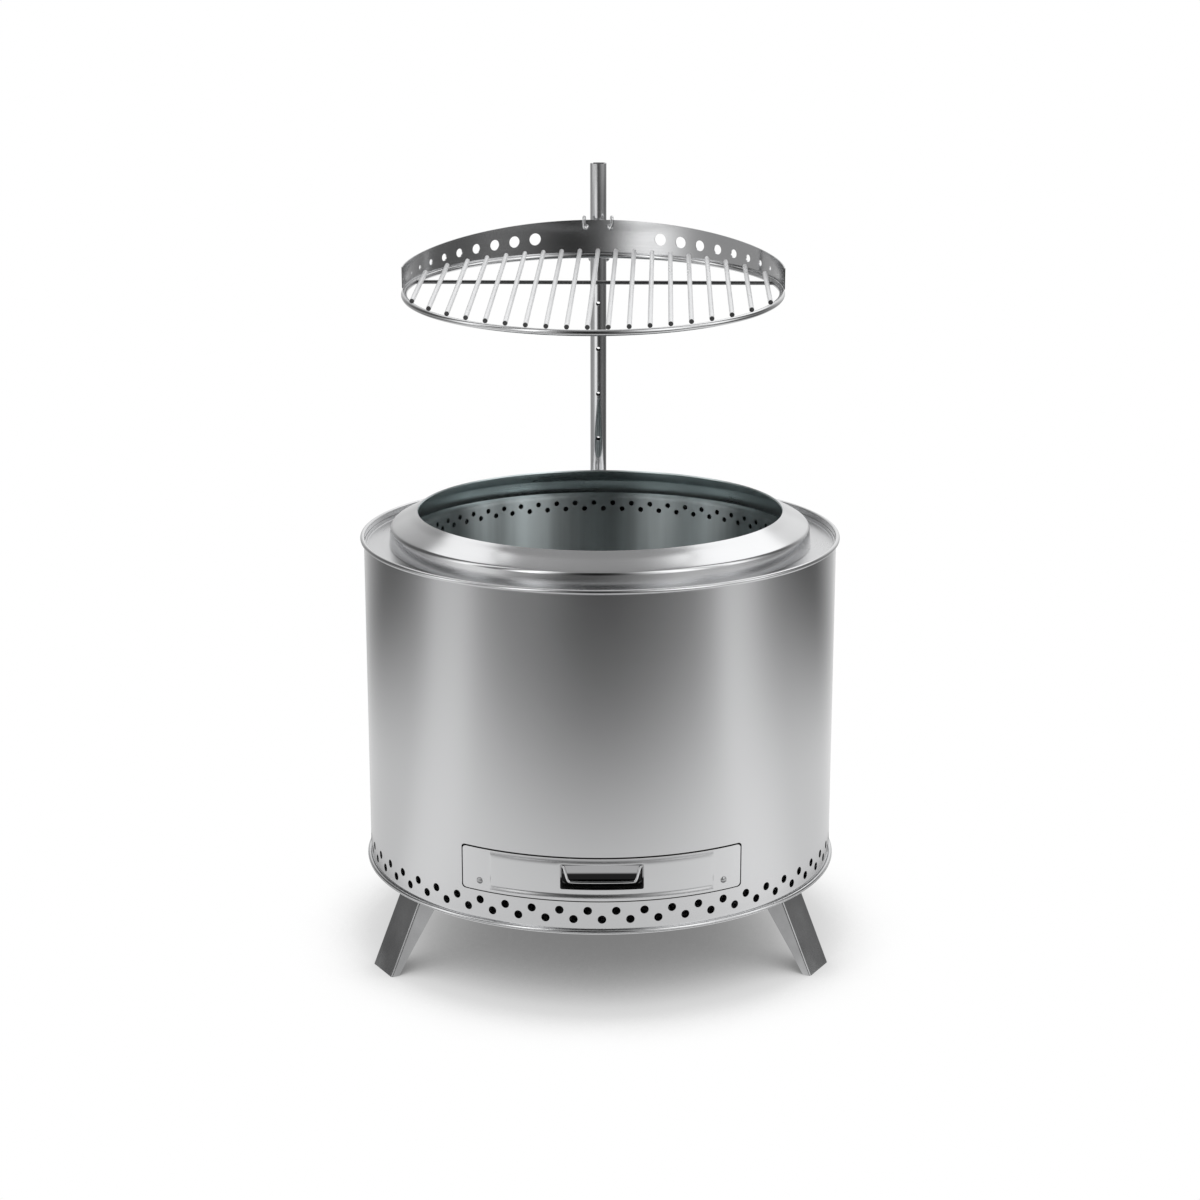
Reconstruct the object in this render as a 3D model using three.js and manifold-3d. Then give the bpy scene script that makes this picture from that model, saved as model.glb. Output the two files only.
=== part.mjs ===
// Double-walled steel fire pit on three splayed legs, with an ash drawer, a lift-off flame collar
// and a round cooking grate that swings and climbs on a post.
// Millimetres, +Z up. The drawer faces -Y. The floor is z = 0.

import * as THREE from 'three';
import { mergeVertices } from 'three/addons/utils/BufferGeometryUtils.js';
import Module from 'manifold-3d';

const wasm = await Module();
wasm.setup();

// Shared clearances and mesh fineness
const seatGap = 0.3; // between pieces that touch
const cutOverrun = 6; // how far a cutting tool passes through a sheet
const ringSegments = 48;
const holeSides = 6;
const smallHoleSides = 5;
const cornerSteps = 3;
const weldDistance = 1e-4;
const fullTurn = 360;

// Height of the drum's foot bead above the floor, and the stance of the legs
const legHeight = 107;
const legFootReach = 19.7; // outer face of a leg at the floor, outward of the drum
const legTopInset = 28.352; // outer face of a leg at the base pan, inward of the drum's wall
const legWidth = 52.8;
const legSheet = 2;
const legBend = 4;
const legFlangeTop = 35;
const legFlangeFoot = 10.5;
const legTabReach = 26; // bolting tab, inward of the flanges
const legScrewSpacing = 26;
const legScrewInset = 12; // from the tab's inner edge
const legNames = ['right', 'rear', 'left'];
const legAngles = [60, 180, 300]; // from the drawer, towards +X

// Fire barrel
const barrelRadius = 240;
const barrelSheet = 1.5;
const barrelFlangeReach = 21;
const barrelFlangeRise = 6; // top of the flange above the deck
const barrelLedge = 20; // shelf that carries the fire grate
const funnelHeight = 40;
const funnelOutletRadius = 150;
const funnelSpout = 6;
const funnelDrawerGap = 8; // spout above the drawer opening
const barrelHoleRadius = 3.5;
const barrelHolePitch = 26;
const barrelHoleDrops = [12.6, 4.5]; // rows below the deck
const barrelTurn = THREE.MathUtils.degToRad(-1.55); // from a lower hole at the very back

// Flame collar
const collarSheet = 2;
const collarBarrelGap = 5.6; // collar skirt outside the barrel's flange
const collarHeight = 41.9;
const collarLipInset = 7.7; // lip inward of the barrel's wall
const collarSkirtHeight = 19;
const collarSkirtFlare = 2.4;
const collarShoulder = 4;
const collarShoulderShares = [ // of the shoulder, inward and up
  [0, 0],
  [0.25, 0.75],
  [1, 1.5],
];

// Drum
const wellWidth = 30.7; // between the collar's foot and the drum
const drumSheet = 1.2;
const drumHeight = 428.3;
const rimBead = 4;
const rimBeadOffset = 1.1; // bead centre outside the middle of the wall
const footBead = 3.5;
const footBeadOffset = 1.9;
const beadSteps = 7;
const ventRadius = 5.2;
const ventPitch = 34.3;
const ventHeights = [18.4, 29.5];

// Deck between barrel and drum
const deckDrop = 12.3; // below the rim
const deckSheet = 1.5;
const deckUpstand = 4.5;
const deckBarrelGap = 0.5;

// Base pan
const panRise = 5.5; // above the foot bead
const panSheet = 1.5;

// Ash drawer
const drawerSill = 40.5;
const drawerHeight = 56.9;
const drawerCorner = 4.5;
const drawerSideGap = 0.9;
const drawerTopGap = 1.3;
const embossSideMargin = 34.7; // beside the embossed field
const embossSill = 4.5; // above the drawer sill
const embossHeight = 46.5;
const embossRaise = 4;
const embossLowerBevel = 8;
const embossUpperBevel = 5.5;
const pocketWidth = 100.4;
const pocketHeight = 31.6;
const pocketSill = 16.1; // above the drawer sill
const pocketDepth = 22;
const pocketSheet = 1.2;
const trayWidth = 320;
const traySideGap = 10.2; // beside the tray in the drawer opening
const trayRearGap = 53.177; // between the tray's rear corners and where its front ones meet the drum
const trayHeight = 46;
const traySill = 3; // above the drawer sill
const traySheet = 1.2;
const drawerRivetInset = 12.027; // from the tray's side
const drawerRivetSill = 13.5;
const drawerRivetHead = 4.2;
const drawerRivetHeadHeight = 1.9;
const drawerRivetShank = 2;
const drawerRivetGrip = 4.5;

// Bail handle in the pocket
const bailWire = 2;
const bailPivotDrop = 3.6; // below the pocket's top
const bailDrop = 19.4;
const bailSetback = 10.5; // behind the embossed face
const bailBarInset = 15; // bar corners, inward of the wire's ends
const bailRouteShares = [ // of the inset and of the drop, from an end to the bar
  [0, 0],
  [0.24, 0.01],
  [0.4, 0.16],
  [0.54, 0.5],
  [0.74, 0.9],
  [1.08, 1],
];
const bailHoleGap = 0.4;
const bailSides = 6;
const bailSteps = 30;

// Drawer guides
const guideSheet = 1.5;
const guideGap = 2; // beside the tray
const guideLedge = 12;
const guideFoot = 15;
const guideLip = 22; // wall above the ledge
const guideRearGap = 43.549; // between the foot's rear corner and the drum's wall
const guideSetback = 24; // behind the drum's cut-out
const guideReliefGap = 1.2; // round the leg screws

// Fire grate
const fireGrateLipGap = 4.3; // passes through the collar's lip
const fireGrateThickness = 3;
const fireGrateHole = 7;
const fireGratePitch = 60;
const fireGrateRings = 3;
const fireGrateHolesPerRing = 6;

// Post and its socket
const postRadius = 11;
const postWall = 1.5;
const postRearGap = 3.3; // between the post and the drum's wall
const postAboveRim = 440;
const postHoleRadius = 3;
const postHolePitch = 62.1;
const postHoleCount = 5;
const postTopHoleDrop = 126; // below the post's top
const tubeSides = 12;
const socketGap = 0.5;
const socketWall = 1.5;
const socketDepth = 90;
const socketFlangeLength = 56;
const socketFlangeWidth = 22;
const socketFlangeSheet = 2;
const socketEndSteps = 6;
const socketScrewSpacing = 40;

// Carrier that slides on the post
const swingAngle = THREE.MathUtils.degToRad(-1.9);
const sleeveGap = 0.5;
const sleeveWall = 2;
const sleeveHeight = 31;
const sleeveAboveHole = 15.5;
const carrierPlateWidth = 48;
const carrierPlateSheet = 2;
const carrierPlateProud = 1.5; // in front of the sleeve
const tongueWidth = 16;
const tongueSheet = 2.5;
const tonguePostGap = 0.6;
const bossRadius = 7;
const bossLength = 12;
const bossEdge = 8; // tongue below the lock's axis
const lockPinRadius = 2.5;
const lockPinGap = 0.35;
const lockKnobRadius = 16;
const lockKnobLength = 13;
const lockKnobWaist = 4;

// Cooking grate
const grateDroop = THREE.MathUtils.degToRad(4);
const grateBelowHole = 12.3; // ring centre below the post's top hole
const ringWire = 3.75;
const ringRadius = 237.2;
const barWire = 3;
const barCount = 19;
const barSpacing = 24.33;
const barBandGap = 1.2; // behind a bar's rounded end
const braceWire = 2.5;
const braceSetback = 50; // behind the ring's centre
const bandSheet = 1.5;
const bandBackHeight = 48; // above the ring's plane
const bandEndHeight = 30;
const bandFoot = 3.2;
const bandHoleRadius = 8.65; // shrinks with the cosine of the hole's angle
const bandHolesPerSide = 9;
const bandFirstHoleShare = 0.5; // of the back height
const bandHoleFallShare = 0.03;
const bandFirstHoleAngle = 20.5;
const bandHoleAngle = 7.1;
const bandSegments = 28;
const bandHalfAngle = 90;

// Hooks that hang the grate on the carrier
const hookWire = 2.25;
const hookSpread = 18.5;
const hookHoleInset = 3.7; // towards the post from the hook's stem
const hookHoleGap = 0.6;
const hookHoleDrop = 8.5; // below the band's top
const hookOverBand = 3.4; // wire centre above the band's top
const hookCorner = 3;
const hookCornerShare = 0.3; // of the corner, where the wire cuts it
const hookCurl = 3.2;
const hookCurlShares = [ // of the inset, the curl and the wire's radius
  [0.35, 0.8, 0],
  [1, 0.3, 0.6],
];
const hookStemFoot = 4; // stem's foot above the plate's foot
const hookSides = 6;
const hookSteps = 26;

// Screws
const screwShank = 2.5;
const screwHead = 4.6;
const screwHeadHeight = 3;
const screwHoleGap = 0.3;
const screwTip = 3;
const screwSides = 6;
const barSides = 6;
const wireSides = 6;

// Heights and radii that follow from the sizes above
const rimTop = legHeight + drumHeight;
const deckTop = rimTop - deckDrop;
const flangeTop = deckTop + barrelFlangeRise;
const flangeRadius = barrelRadius + barrelFlangeReach;
const collarFootRadius = flangeRadius + collarBarrelGap + collarSheet;
const collarLipRadius = barrelRadius - collarLipInset;
const drumInner = collarFootRadius + wellWidth;
const drumRadius = drumInner + drumSheet;
const panBottom = legHeight + panRise;
const panTop = panBottom + panSheet;
const sillZ = legHeight + drawerSill;
const lintelZ = sillZ + drawerHeight;
const spoutBottom = lintelZ + funnelDrawerGap;
const ledgeTop = spoutBottom + funnelSpout + funnelHeight;
const embossRadius = drumRadius + embossRaise;
const panelInner = drumRadius - drumSheet;
const drawerWidth = trayWidth + 2 * traySideGap;
const embossWidth = drawerWidth - 2 * embossSideMargin;
const trayFront = panelInner - seatGap;
const trayCornerY = Math.sqrt(trayFront ** 2 - (trayWidth / 2) ** 2);
const trayBottom = sillZ + traySill;
const drawerRivetAngle = Math.asin((trayWidth / 2 - drawerRivetInset) / drumRadius);
const legTopZ = panBottom - seatGap;
const legTopRadius = drumInner - legTopInset;
const legFootRadius = drumRadius + legFootReach;
const legScrewTip = panTop + seatGap + screwTip;
const pocketBottom = sillZ + pocketSill;
const pocketTop = pocketBottom + pocketHeight;
const rivetZ = sillZ + drawerRivetSill;
const postY = drumInner - postRearGap - postRadius;
const postTop = rimTop + postAboveRim;
const lockZ = postTop - postTopHoleDrop;
const sleeveRadius = postRadius + sleeveGap + sleeveWall;
const sleeveBottom = lockZ + sleeveAboveHole;
const tongueInner = postRadius + tonguePostGap;
const tongueOuter = tongueInner + tongueSheet;
const plateFront = sleeveRadius + carrierPlateProud;
const bandRadius = ringRadius + ringWire;
const knobRear = tongueOuter + bossLength + seatGap + lockKnobLength;

// Geometry helpers

function solidOf(geometry) {
  const bare = geometry.index ? geometry.toNonIndexed() : geometry.clone();
  bare.deleteAttribute('normal');
  bare.deleteAttribute('uv');
  const merged = mergeVertices(bare, weldDistance);
  return new wasm.Manifold(new wasm.Mesh({
    numProp: 3,
    vertProperties: new Float32Array(merged.attributes.position.array),
    triVerts: new Uint32Array(merged.index.array),
  }));
}

function geometryOf(solid) {
  const mesh = solid.getMesh();
  const geometry = new THREE.BufferGeometry();
  geometry.setAttribute('position', new THREE.BufferAttribute(mesh.vertProperties, 3));
  geometry.setIndex(new THREE.BufferAttribute(mesh.triVerts, 1));
  geometry.computeVertexNormals();
  return geometry;
}

function joined(...geometries) {
  return geometryOf(geometries.map(solidOf).reduce((sum, part) => sum.add(part)));
}

function cutBy(geometry, tools) {
  return geometryOf(tools.map(solidOf).reduce((rest, tool) => rest.subtract(tool), solidOf(geometry)));
}

function common(a, b) {
  return geometryOf(solidOf(a).intersect(solidOf(b)));
}

function point(x, y) {
  return new THREE.Vector2(x, y);
}

// A closed outline in radius and height, turned about +Z.
function turned(outline, segments = ringSegments) {
  const upright = THREE.ShapeUtils.area(outline) < 0 ? outline : [...outline].reverse();
  const onAxis = upright.filter((p) => p.x === 0).length > 1;
  let loop = upright;
  if (onAxis) {
    const start = upright.findIndex((p, i) => p.x === 0 && upright.at(i - 1).x === 0);
    loop = [...upright.slice(start), ...upright.slice(0, start)];
  } else {
    loop = [...upright, upright[0]];
  }
  return new THREE.LatheGeometry(loop.reverse(), segments).rotateX(Math.PI / 2);
}

function solidDisc(radius, low, high, segments = ringSegments) {
  return turned([point(0, low), point(radius, low), point(radius, high), point(0, high)], segments);
}

// The outline of a sheet that follows a path, with its thickness on the path's right-hand side.
function sheetOutline(path, thickness) {
  const offset = path.map((p, i) => {
    const before = path[i - 1] ?? null;
    const after = path[i + 1] ?? null;
    const a = before ? p.clone().sub(before).normalize() : after.clone().sub(p).normalize();
    const b = after ? after.clone().sub(p).normalize() : a;
    const normal = point(a.y + b.y, -a.x - b.x).normalize();
    const reach = thickness / (normal.x * a.y - normal.y * a.x);
    return p.clone().addScaledVector(normal, reach);
  });
  return [...path, ...offset.reverse()];
}

// Points of an arc about a centre, from one angle to another, in degrees.
function arc(centre, radius, from, to, steps) {
  return Array.from({ length: steps + 1 }, (_, i) => {
    const angle = THREE.MathUtils.degToRad(from + ((to - from) * i) / steps);
    return point(centre.x + radius * Math.cos(angle), centre.y + radius * Math.sin(angle));
  });
}

function box(lowX, highX, lowY, highY, lowZ, highZ) {
  return new THREE.BoxGeometry(highX - lowX, highY - lowY, highZ - lowZ)
    .translate((lowX + highX) / 2, (lowY + highY) / 2, (lowZ + highZ) / 2);
}

// An outline in X and Z, extruded from one Y to another.
function prismAlongY(outline, lowY, highY) {
  return new THREE.ExtrudeGeometry(new THREE.Shape(outline), { depth: highY - lowY, bevelEnabled: false })
    .rotateX(Math.PI / 2)
    .translate(0, highY, 0);
}

// An outline in X and Y, extruded from one Z to another.
function prismAlongZ(outline, lowZ, highZ) {
  return new THREE.ExtrudeGeometry(new THREE.Shape(outline), { depth: highZ - lowZ, bevelEnabled: false })
    .translate(0, 0, lowZ);
}

function roundedRectangle(halfWidth, low, high, corner, steps = cornerSteps) {
  return [
    ...arc(point(halfWidth - corner, low + corner), corner, -90, 0, steps),
    ...arc(point(halfWidth - corner, high - corner), corner, 0, 90, steps),
    ...arc(point(-halfWidth + corner, high - corner), corner, 90, 180, steps),
    ...arc(point(-halfWidth + corner, low + corner), corner, 180, 270, steps),
  ];
}

// An upright cylinder.
function uprightCylinder(radius, x, y, lowZ, highZ, sides) {
  return new THREE.CylinderGeometry(radius, radius, highZ - lowZ, sides)
    .rotateX(Math.PI / 2)
    .translate(x, y, (lowZ + highZ) / 2);
}

// A cylinder that lies along a radius, at an angle counted from -Y towards +X.
function radialCylinder(radius, from, to, angle, z, sides = holeSides) {
  return new THREE.CylinderGeometry(radius, radius, to - from, sides)
    .translate(0, -(from + to) / 2, z)
    .rotateZ(angle);
}

// Two staggered rows of round holes through a turned wall.
function staggeredHoles(wallRadius, pitch, holeRadius, heights, sides) {
  const count = Math.round((2 * Math.PI * wallRadius) / pitch);
  const step = (2 * Math.PI) / count;
  return heights.flatMap((z, row) => Array.from({ length: count }, (_, i) => radialCylinder(
    holeRadius,
    wallRadius - cutOverrun,
    wallRadius + cutOverrun,
    step * (i + row / 2),
    z,
    sides,
  )));
}

// A wire of round section that follows a smooth curve.
function wire(points, radius, sides, steps) {
  const section = new THREE.Shape(arc(point(0, 0), radius, 0, fullTurn - fullTurn / sides, sides - 1));
  const path = new THREE.CatmullRomCurve3(points, false, 'centripetal');
  return new THREE.ExtrudeGeometry(section, { steps, extrudePath: path, bevelEnabled: false });
}

// A straight round bar along +Y with one rounded end.
function roundEndedBar(radius, from, to, sides) {
  const outline = [point(0, from), point(radius, from), ...arc(point(0, to - radius), radius, 0, 90, 2)];
  outline.at(-1).x = 0;
  return turned(outline, sides).rotateX(-Math.PI / 2);
}

// A pan-head screw whose head stands on z = 0 and whose shank points down.
function screw(shank, head, headHeight, length) {
  return turned([
    point(0, -length),
    point(shank, -length),
    point(shank, 0),
    point(head, 0),
    point(head, headHeight / 2),
    point(head - headHeight / 2, headHeight),
    point(0, headHeight),
  ], screwSides);
}

function steel(colour, roughness, metalness = 1) {
  return new THREE.MeshStandardMaterial({ color: colour, roughness, metalness });
}

const brushedSteel = steel(0xb9bbbd, 0.38);
const brightSteel = steel(0xe6e7e8, 0.22);
const smokedSteel = steel(0x6f7578, 0.42);
const darkSteel = steel(0x4c4f50, 0.35);

const firePit = new THREE.Group();

function piece(name, geometry, material, parent = firePit) {
  const mesh = new THREE.Mesh(geometry, material);
  mesh.name = name;
  parent.add(mesh);
  return mesh;
}

// Drum

// A wired bead's outline, from one face of the wall round to the other.
function beadArc(centre, radius, atTop) {
  const faceAngle = (face) => THREE.MathUtils.radToDeg(Math.acos((face - centre.x) / radius));
  const innerFace = faceAngle(drumInner);
  const outerFace = faceAngle(drumRadius);
  return atTop
    ? arc(centre, radius, fullTurn - innerFace, -outerFace, beadSteps)
    : arc(centre, radius, outerFace, innerFace - fullTurn, beadSteps);
}

function outerDrum() {
  const wallMiddle = drumRadius - drumSheet / 2;
  const rim = beadArc(point(wallMiddle + rimBeadOffset, rimTop - rimBead), rimBead, true);
  const foot = beadArc(point(wallMiddle + footBeadOffset, legHeight + footBead), footBead, false);
  const opening = roundedRectangle(drawerWidth / 2, sillZ, lintelZ, drawerCorner);
  return cutBy(turned([...rim, ...foot]), [
    ...staggeredHoles(drumRadius, ventPitch, ventRadius, ventHeights.map((z) => legHeight + z), holeSides),
    prismAlongY(opening, -drumRadius - cutOverrun, 0),
  ]);
}

function topDeck() {
  const outer = drumInner - seatGap;
  const ring = turned(sheetOutline([
    point(outer, deckTop + deckUpstand),
    point(outer, deckTop - deckSheet),
    point(barrelRadius + deckBarrelGap, deckTop - deckSheet),
  ], deckSheet));
  const drill = (radius, x, sides) => uprightCylinder(
    radius,
    x,
    postY,
    deckTop - deckSheet - cutOverrun,
    deckTop + cutOverrun,
    sides,
  );
  return cutBy(ring, [
    drill(postRadius + socketGap + socketWall + seatGap, 0, tubeSides),
    drill(screwShank + screwHoleGap, -socketScrewSpacing / 2, screwSides),
    drill(screwShank + screwHoleGap, socketScrewSpacing / 2, screwSides),
  ]);
}

function legScrewPlaces(angle) {
  const along = new THREE.Vector3(Math.sin(angle), -Math.cos(angle), 0);
  const across = new THREE.Vector3(Math.cos(angle), Math.sin(angle), 0);
  const radius = legTopRadius - legFlangeTop - legTabReach + legScrewInset;
  return [-1, 1].map((side) => along.clone().multiplyScalar(radius)
    .addScaledVector(across, (side * legScrewSpacing) / 2));
}

function basePan() {
  const radius = drumInner - seatGap;
  const disc = solidDisc(radius, panBottom, panTop);
  const holes = legAngles
    .flatMap((angle) => legScrewPlaces(THREE.MathUtils.degToRad(angle)))
    .map((place) => uprightCylinder(
      screwShank + screwHoleGap,
      place.x,
      place.y,
      panBottom - cutOverrun,
      panTop + cutOverrun,
      screwSides,
    ));
  return cutBy(disc, holes);
}

// Legs

// A channel's section: x runs across the leg and y runs outward.
function channelSection(outer, depth) {
  const half = legWidth / 2;
  const outside = [
    point(-half, outer - depth),
    ...arc(point(-half + legBend, outer - legBend), legBend, 180, 90, cornerSteps),
    ...arc(point(half - legBend, outer - legBend), legBend, 90, 0, cornerSteps),
    point(half, outer - depth),
  ];
  return sheetOutline(outside, legSheet);
}

// A closed solid between two outlines of equal count at two heights.
function loft(lowOutline, highOutline, lowZ, highZ) {
  const count = lowOutline.length;
  const positions = [
    ...lowOutline.flatMap((p) => [p.x, p.y, lowZ]),
    ...highOutline.flatMap((p) => [p.x, p.y, highZ]),
  ];
  const anticlockwise = THREE.ShapeUtils.area(lowOutline) > 0;
  const faces = [];
  const add = (a, b, c) => faces.push(...(anticlockwise ? [a, b, c] : [a, c, b]));
  for (let i = 0; i < count; i += 1) {
    const next = (i + 1) % count;
    add(i, next, count + i);
    add(next, count + next, count + i);
  }
  for (const [a, b, c] of THREE.ShapeUtils.triangulateShape(lowOutline, [])) {
    const upright = THREE.ShapeUtils.area([a, b, c].map((k) => lowOutline[k])) > 0;
    const [p, q, r] = upright ? [a, b, c] : [a, c, b];
    faces.push(p, r, q);
  }
  for (const [a, b, c] of THREE.ShapeUtils.triangulateShape(highOutline, [])) {
    const upright = THREE.ShapeUtils.area([a, b, c].map((k) => highOutline[k])) > 0;
    const [p, q, r] = upright ? [a, b, c] : [a, c, b];
    faces.push(count + p, count + q, count + r);
  }
  const geometry = new THREE.BufferGeometry();
  geometry.setAttribute('position', new THREE.Float32BufferAttribute(positions, 3));
  geometry.setIndex(faces);
  return geometry;
}

function leg(angle) {
  const channel = loft(
    channelSection(legFootRadius, legFlangeFoot),
    channelSection(legTopRadius, legFlangeTop),
    0,
    legTopZ,
  );
  const plateHalf = (legWidth - legSheet) / 2;
  const tabInner = legTopRadius - legFlangeTop - legTabReach;
  const tabOuter = legTopRadius - legSheet / 2;
  const tab = box(-plateHalf, plateHalf, tabInner, tabOuter, legTopZ - legSheet, legTopZ);
  const slope = ((legFootRadius - legTopRadius) / legTopZ) * legSheet;
  const foot = box(
    -plateHalf,
    plateHalf,
    legFootRadius - legFlangeFoot - slope,
    legFootRadius - slope,
    0,
    legSheet,
  );
  const holes = [-1, 1].map((side) => uprightCylinder(
    screwShank + screwHoleGap,
    (side * legScrewSpacing) / 2,
    tabInner + legScrewInset,
    legTopZ - legSheet - cutOverrun,
    legTopZ + cutOverrun,
    screwSides,
  ));
  return cutBy(joined(channel, tab, foot), holes).rotateZ(angle + Math.PI);
}

function legScrew(place) {
  const seat = legTopZ - legSheet - seatGap;
  return screw(screwShank, screwHead, screwHeadHeight, legScrewTip - seat)
    .rotateX(Math.PI)
    .translate(place.x, place.y, seat);
}

// Fire barrel, collar and fire grate

function fireBarrel() {
  const wall = barrelRadius;
  const flangeEdge = deckTop + seatGap;
  const ledgeInner = wall - barrelSheet - barrelLedge;
  const shell = turned(sheetOutline([
    point(funnelOutletRadius, spoutBottom),
    point(funnelOutletRadius, spoutBottom + funnelSpout),
    point(ledgeInner, ledgeTop - barrelSheet),
    point(wall, ledgeTop - barrelSheet),
    point(wall, flangeTop - barrelSheet),
    point(flangeRadius - barrelSheet, flangeTop - barrelSheet),
    point(flangeRadius - barrelSheet, flangeEdge),
  ].reverse(), barrelSheet));
  return cutBy(shell, staggeredHoles(
    wall,
    barrelHolePitch,
    barrelHoleRadius,
    barrelHoleDrops.map((drop) => deckTop - drop),
    smallHoleSides,
  )).rotateZ(barrelTurn);
}

function flameCollar() {
  const foot = deckTop + seatGap;
  const skirtTop = foot + collarSkirtHeight;
  const shoulderRadius = collarFootRadius - collarSkirtFlare;
  return turned(sheetOutline([
    point(collarFootRadius, foot),
    ...collarShoulderShares.map(([inShare, upShare]) => point(
      shoulderRadius - inShare * collarShoulder,
      skirtTop + upShare * collarShoulder,
    )),
    point(collarLipRadius, foot + collarHeight),
  ].reverse(), collarSheet));
}

function fireGrate() {
  const radius = collarLipRadius - fireGrateLipGap;
  const low = ledgeTop + seatGap;
  const high = low + fireGrateThickness;
  const disc = solidDisc(radius, low, high);
  const drill = (x, y) => uprightCylinder(
    fireGrateHole,
    x,
    y,
    low - cutOverrun,
    high + cutOverrun,
    smallHoleSides,
  );
  const holes = [drill(0, 0)];
  for (let ring = 1; ring <= fireGrateRings; ring += 1) {
    const count = fireGrateHolesPerRing * ring;
    for (let i = 0; i < count; i += 1) {
      const angle = (2 * Math.PI * i) / count;
      holes.push(drill(ring * fireGratePitch * Math.cos(angle), ring * fireGratePitch * Math.sin(angle)));
    }
  }
  return cutBy(disc, holes);
}

// Ash drawer

function drawerFront() {
  const flat = common(
    turned([
      point(panelInner, sillZ),
      point(drumRadius, sillZ),
      point(drumRadius, lintelZ),
      point(panelInner, lintelZ),
    ]),
    prismAlongY(
      roundedRectangle(
        drawerWidth / 2 - drawerSideGap,
        sillZ + drawerSideGap,
        lintelZ - drawerTopGap,
        drawerCorner,
      ),
      -drumRadius - cutOverrun,
      0,
    ),
  );
  const low = sillZ + embossSill;
  const high = low + embossHeight;
  const raised = (inset) => common(
    turned([
      point(panelInner - inset, low + inset),
      point(drumRadius - inset, low + inset),
      point(embossRadius - inset, low + embossLowerBevel),
      point(embossRadius - inset, high - embossUpperBevel),
      point(drumRadius - inset, high - inset),
      point(panelInner - inset, high - inset),
    ]),
    box(-embossWidth / 2 + inset, embossWidth / 2 - inset, -embossRadius - cutOverrun, 0, low, high),
  );
  const rivetHoles = [-1, 1].map((side) => radialCylinder(
    drawerRivetShank + seatGap,
    panelInner - cutOverrun,
    embossRadius + cutOverrun,
    side * drawerRivetAngle,
    rivetZ,
    screwSides,
  ));
  return cutBy(joined(flat, raised(0)), [
    raised(drumSheet),
    pocketBox(0, 0),
    ...rivetHoles,
  ]);
}

function pocketBox(shrink, floor) {
  return box(
    -pocketWidth / 2 + shrink,
    pocketWidth / 2 - shrink,
    -embossRadius - cutOverrun,
    -embossRadius + pocketDepth - floor,
    pocketBottom + shrink,
    pocketTop - shrink,
  );
}

function bailPivot() {
  return new THREE.Vector3(0, -embossRadius + bailSetback, pocketTop - bailPivotDrop);
}

function handleDish() {
  const face = embossRadius - seatGap;
  const drum = solidDisc(face, pocketBottom, pocketTop);
  const wall = seatGap + pocketSheet;
  const pivot = bailPivot();
  const pinHole = new THREE.CylinderGeometry(
    bailWire + bailHoleGap,
    bailWire + bailHoleGap,
    pocketWidth + cutOverrun,
    bailSides,
  ).rotateZ(Math.PI / 2).translate(pivot.x, pivot.y, pivot.z);
  return cutBy(common(pocketBox(seatGap, 0), drum), [pocketBox(wall, pocketSheet), pinHole]);
}

function handleBail() {
  const pivot = bailPivot();
  const half = pocketWidth / 2 - 2 * seatGap;
  const side = bailRouteShares.map(([insetShare, dropShare]) => new THREE.Vector3(
    half - insetShare * bailBarInset,
    pivot.y,
    pivot.z - dropShare * bailDrop,
  ));
  const mirrored = side.map((p) => new THREE.Vector3(-p.x, p.y, p.z));
  return wire([...mirrored, ...side.reverse()], bailWire, bailSides, bailSteps);
}

function ashPan() {
  const trayBlock = (wall, low, high) => common(
    solidDisc(trayFront - wall, low, high),
    box(
      -trayWidth / 2 + wall,
      trayWidth / 2 - wall,
      -trayFront - cutOverrun,
      trayCornerY - trayRearGap - wall,
      low,
      high,
    ),
  );
  const tray = trayBlock(0, trayBottom, trayBottom + trayHeight);
  const hollow = trayBlock(traySheet, trayBottom + traySheet, trayBottom + trayHeight + cutOverrun);
  const dishWindow = box(
    -pocketWidth / 2,
    pocketWidth / 2,
    -embossRadius - cutOverrun,
    -embossRadius + pocketDepth + seatGap,
    pocketBottom,
    pocketTop,
  );
  const rivetHoles = [-1, 1].map((side) => radialCylinder(
    drawerRivetShank + seatGap,
    trayFront - cutOverrun,
    trayFront + cutOverrun,
    side * drawerRivetAngle,
    rivetZ,
    screwSides,
  ));
  return cutBy(tray, [hollow, dishWindow, ...rivetHoles]);
}

function drawerRivet(side) {
  return screw(drawerRivetShank, drawerRivetHead, drawerRivetHeadHeight, drawerRivetGrip)
    .rotateX(Math.PI / 2)
    .translate(0, -drumRadius - seatGap, rivetZ)
    .rotateZ(side * drawerRivetAngle);
}

function drawerGuide(side) {
  const wall = trayWidth / 2 + guideGap;
  const ledge = trayBottom - seatGap;
  const foot = panTop + seatGap;
  const outline = [
    point(wall + guideFoot, foot),
    point(wall + guideFoot, foot + guideSheet),
    point(wall + guideSheet, foot + guideSheet),
    point(wall + guideSheet, ledge + guideLip),
    point(wall, ledge + guideLip),
    point(wall, ledge),
    point(wall - guideLedge, ledge),
    point(wall - guideLedge, ledge - guideSheet),
    point(wall, ledge - guideSheet),
    point(wall, foot),
  ].map((p) => point(side * p.x, p.y));
  const front = -Math.sqrt(drumInner ** 2 - (drawerWidth / 2) ** 2) + guideSetback;
  const rear = Math.sqrt(drumInner ** 2 - (wall + guideFoot) ** 2) - guideRearGap;
  const reliefs = legAngles
    .flatMap((angle) => legScrewPlaces(THREE.MathUtils.degToRad(angle)))
    .map((place) => uprightCylinder(
      screwShank + guideReliefGap,
      place.x,
      place.y,
      panTop - cutOverrun,
      legScrewTip + guideReliefGap,
      screwSides,
    ));
  return cutBy(prismAlongY(outline, front, rear), reliefs);
}

// Post and socket

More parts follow.
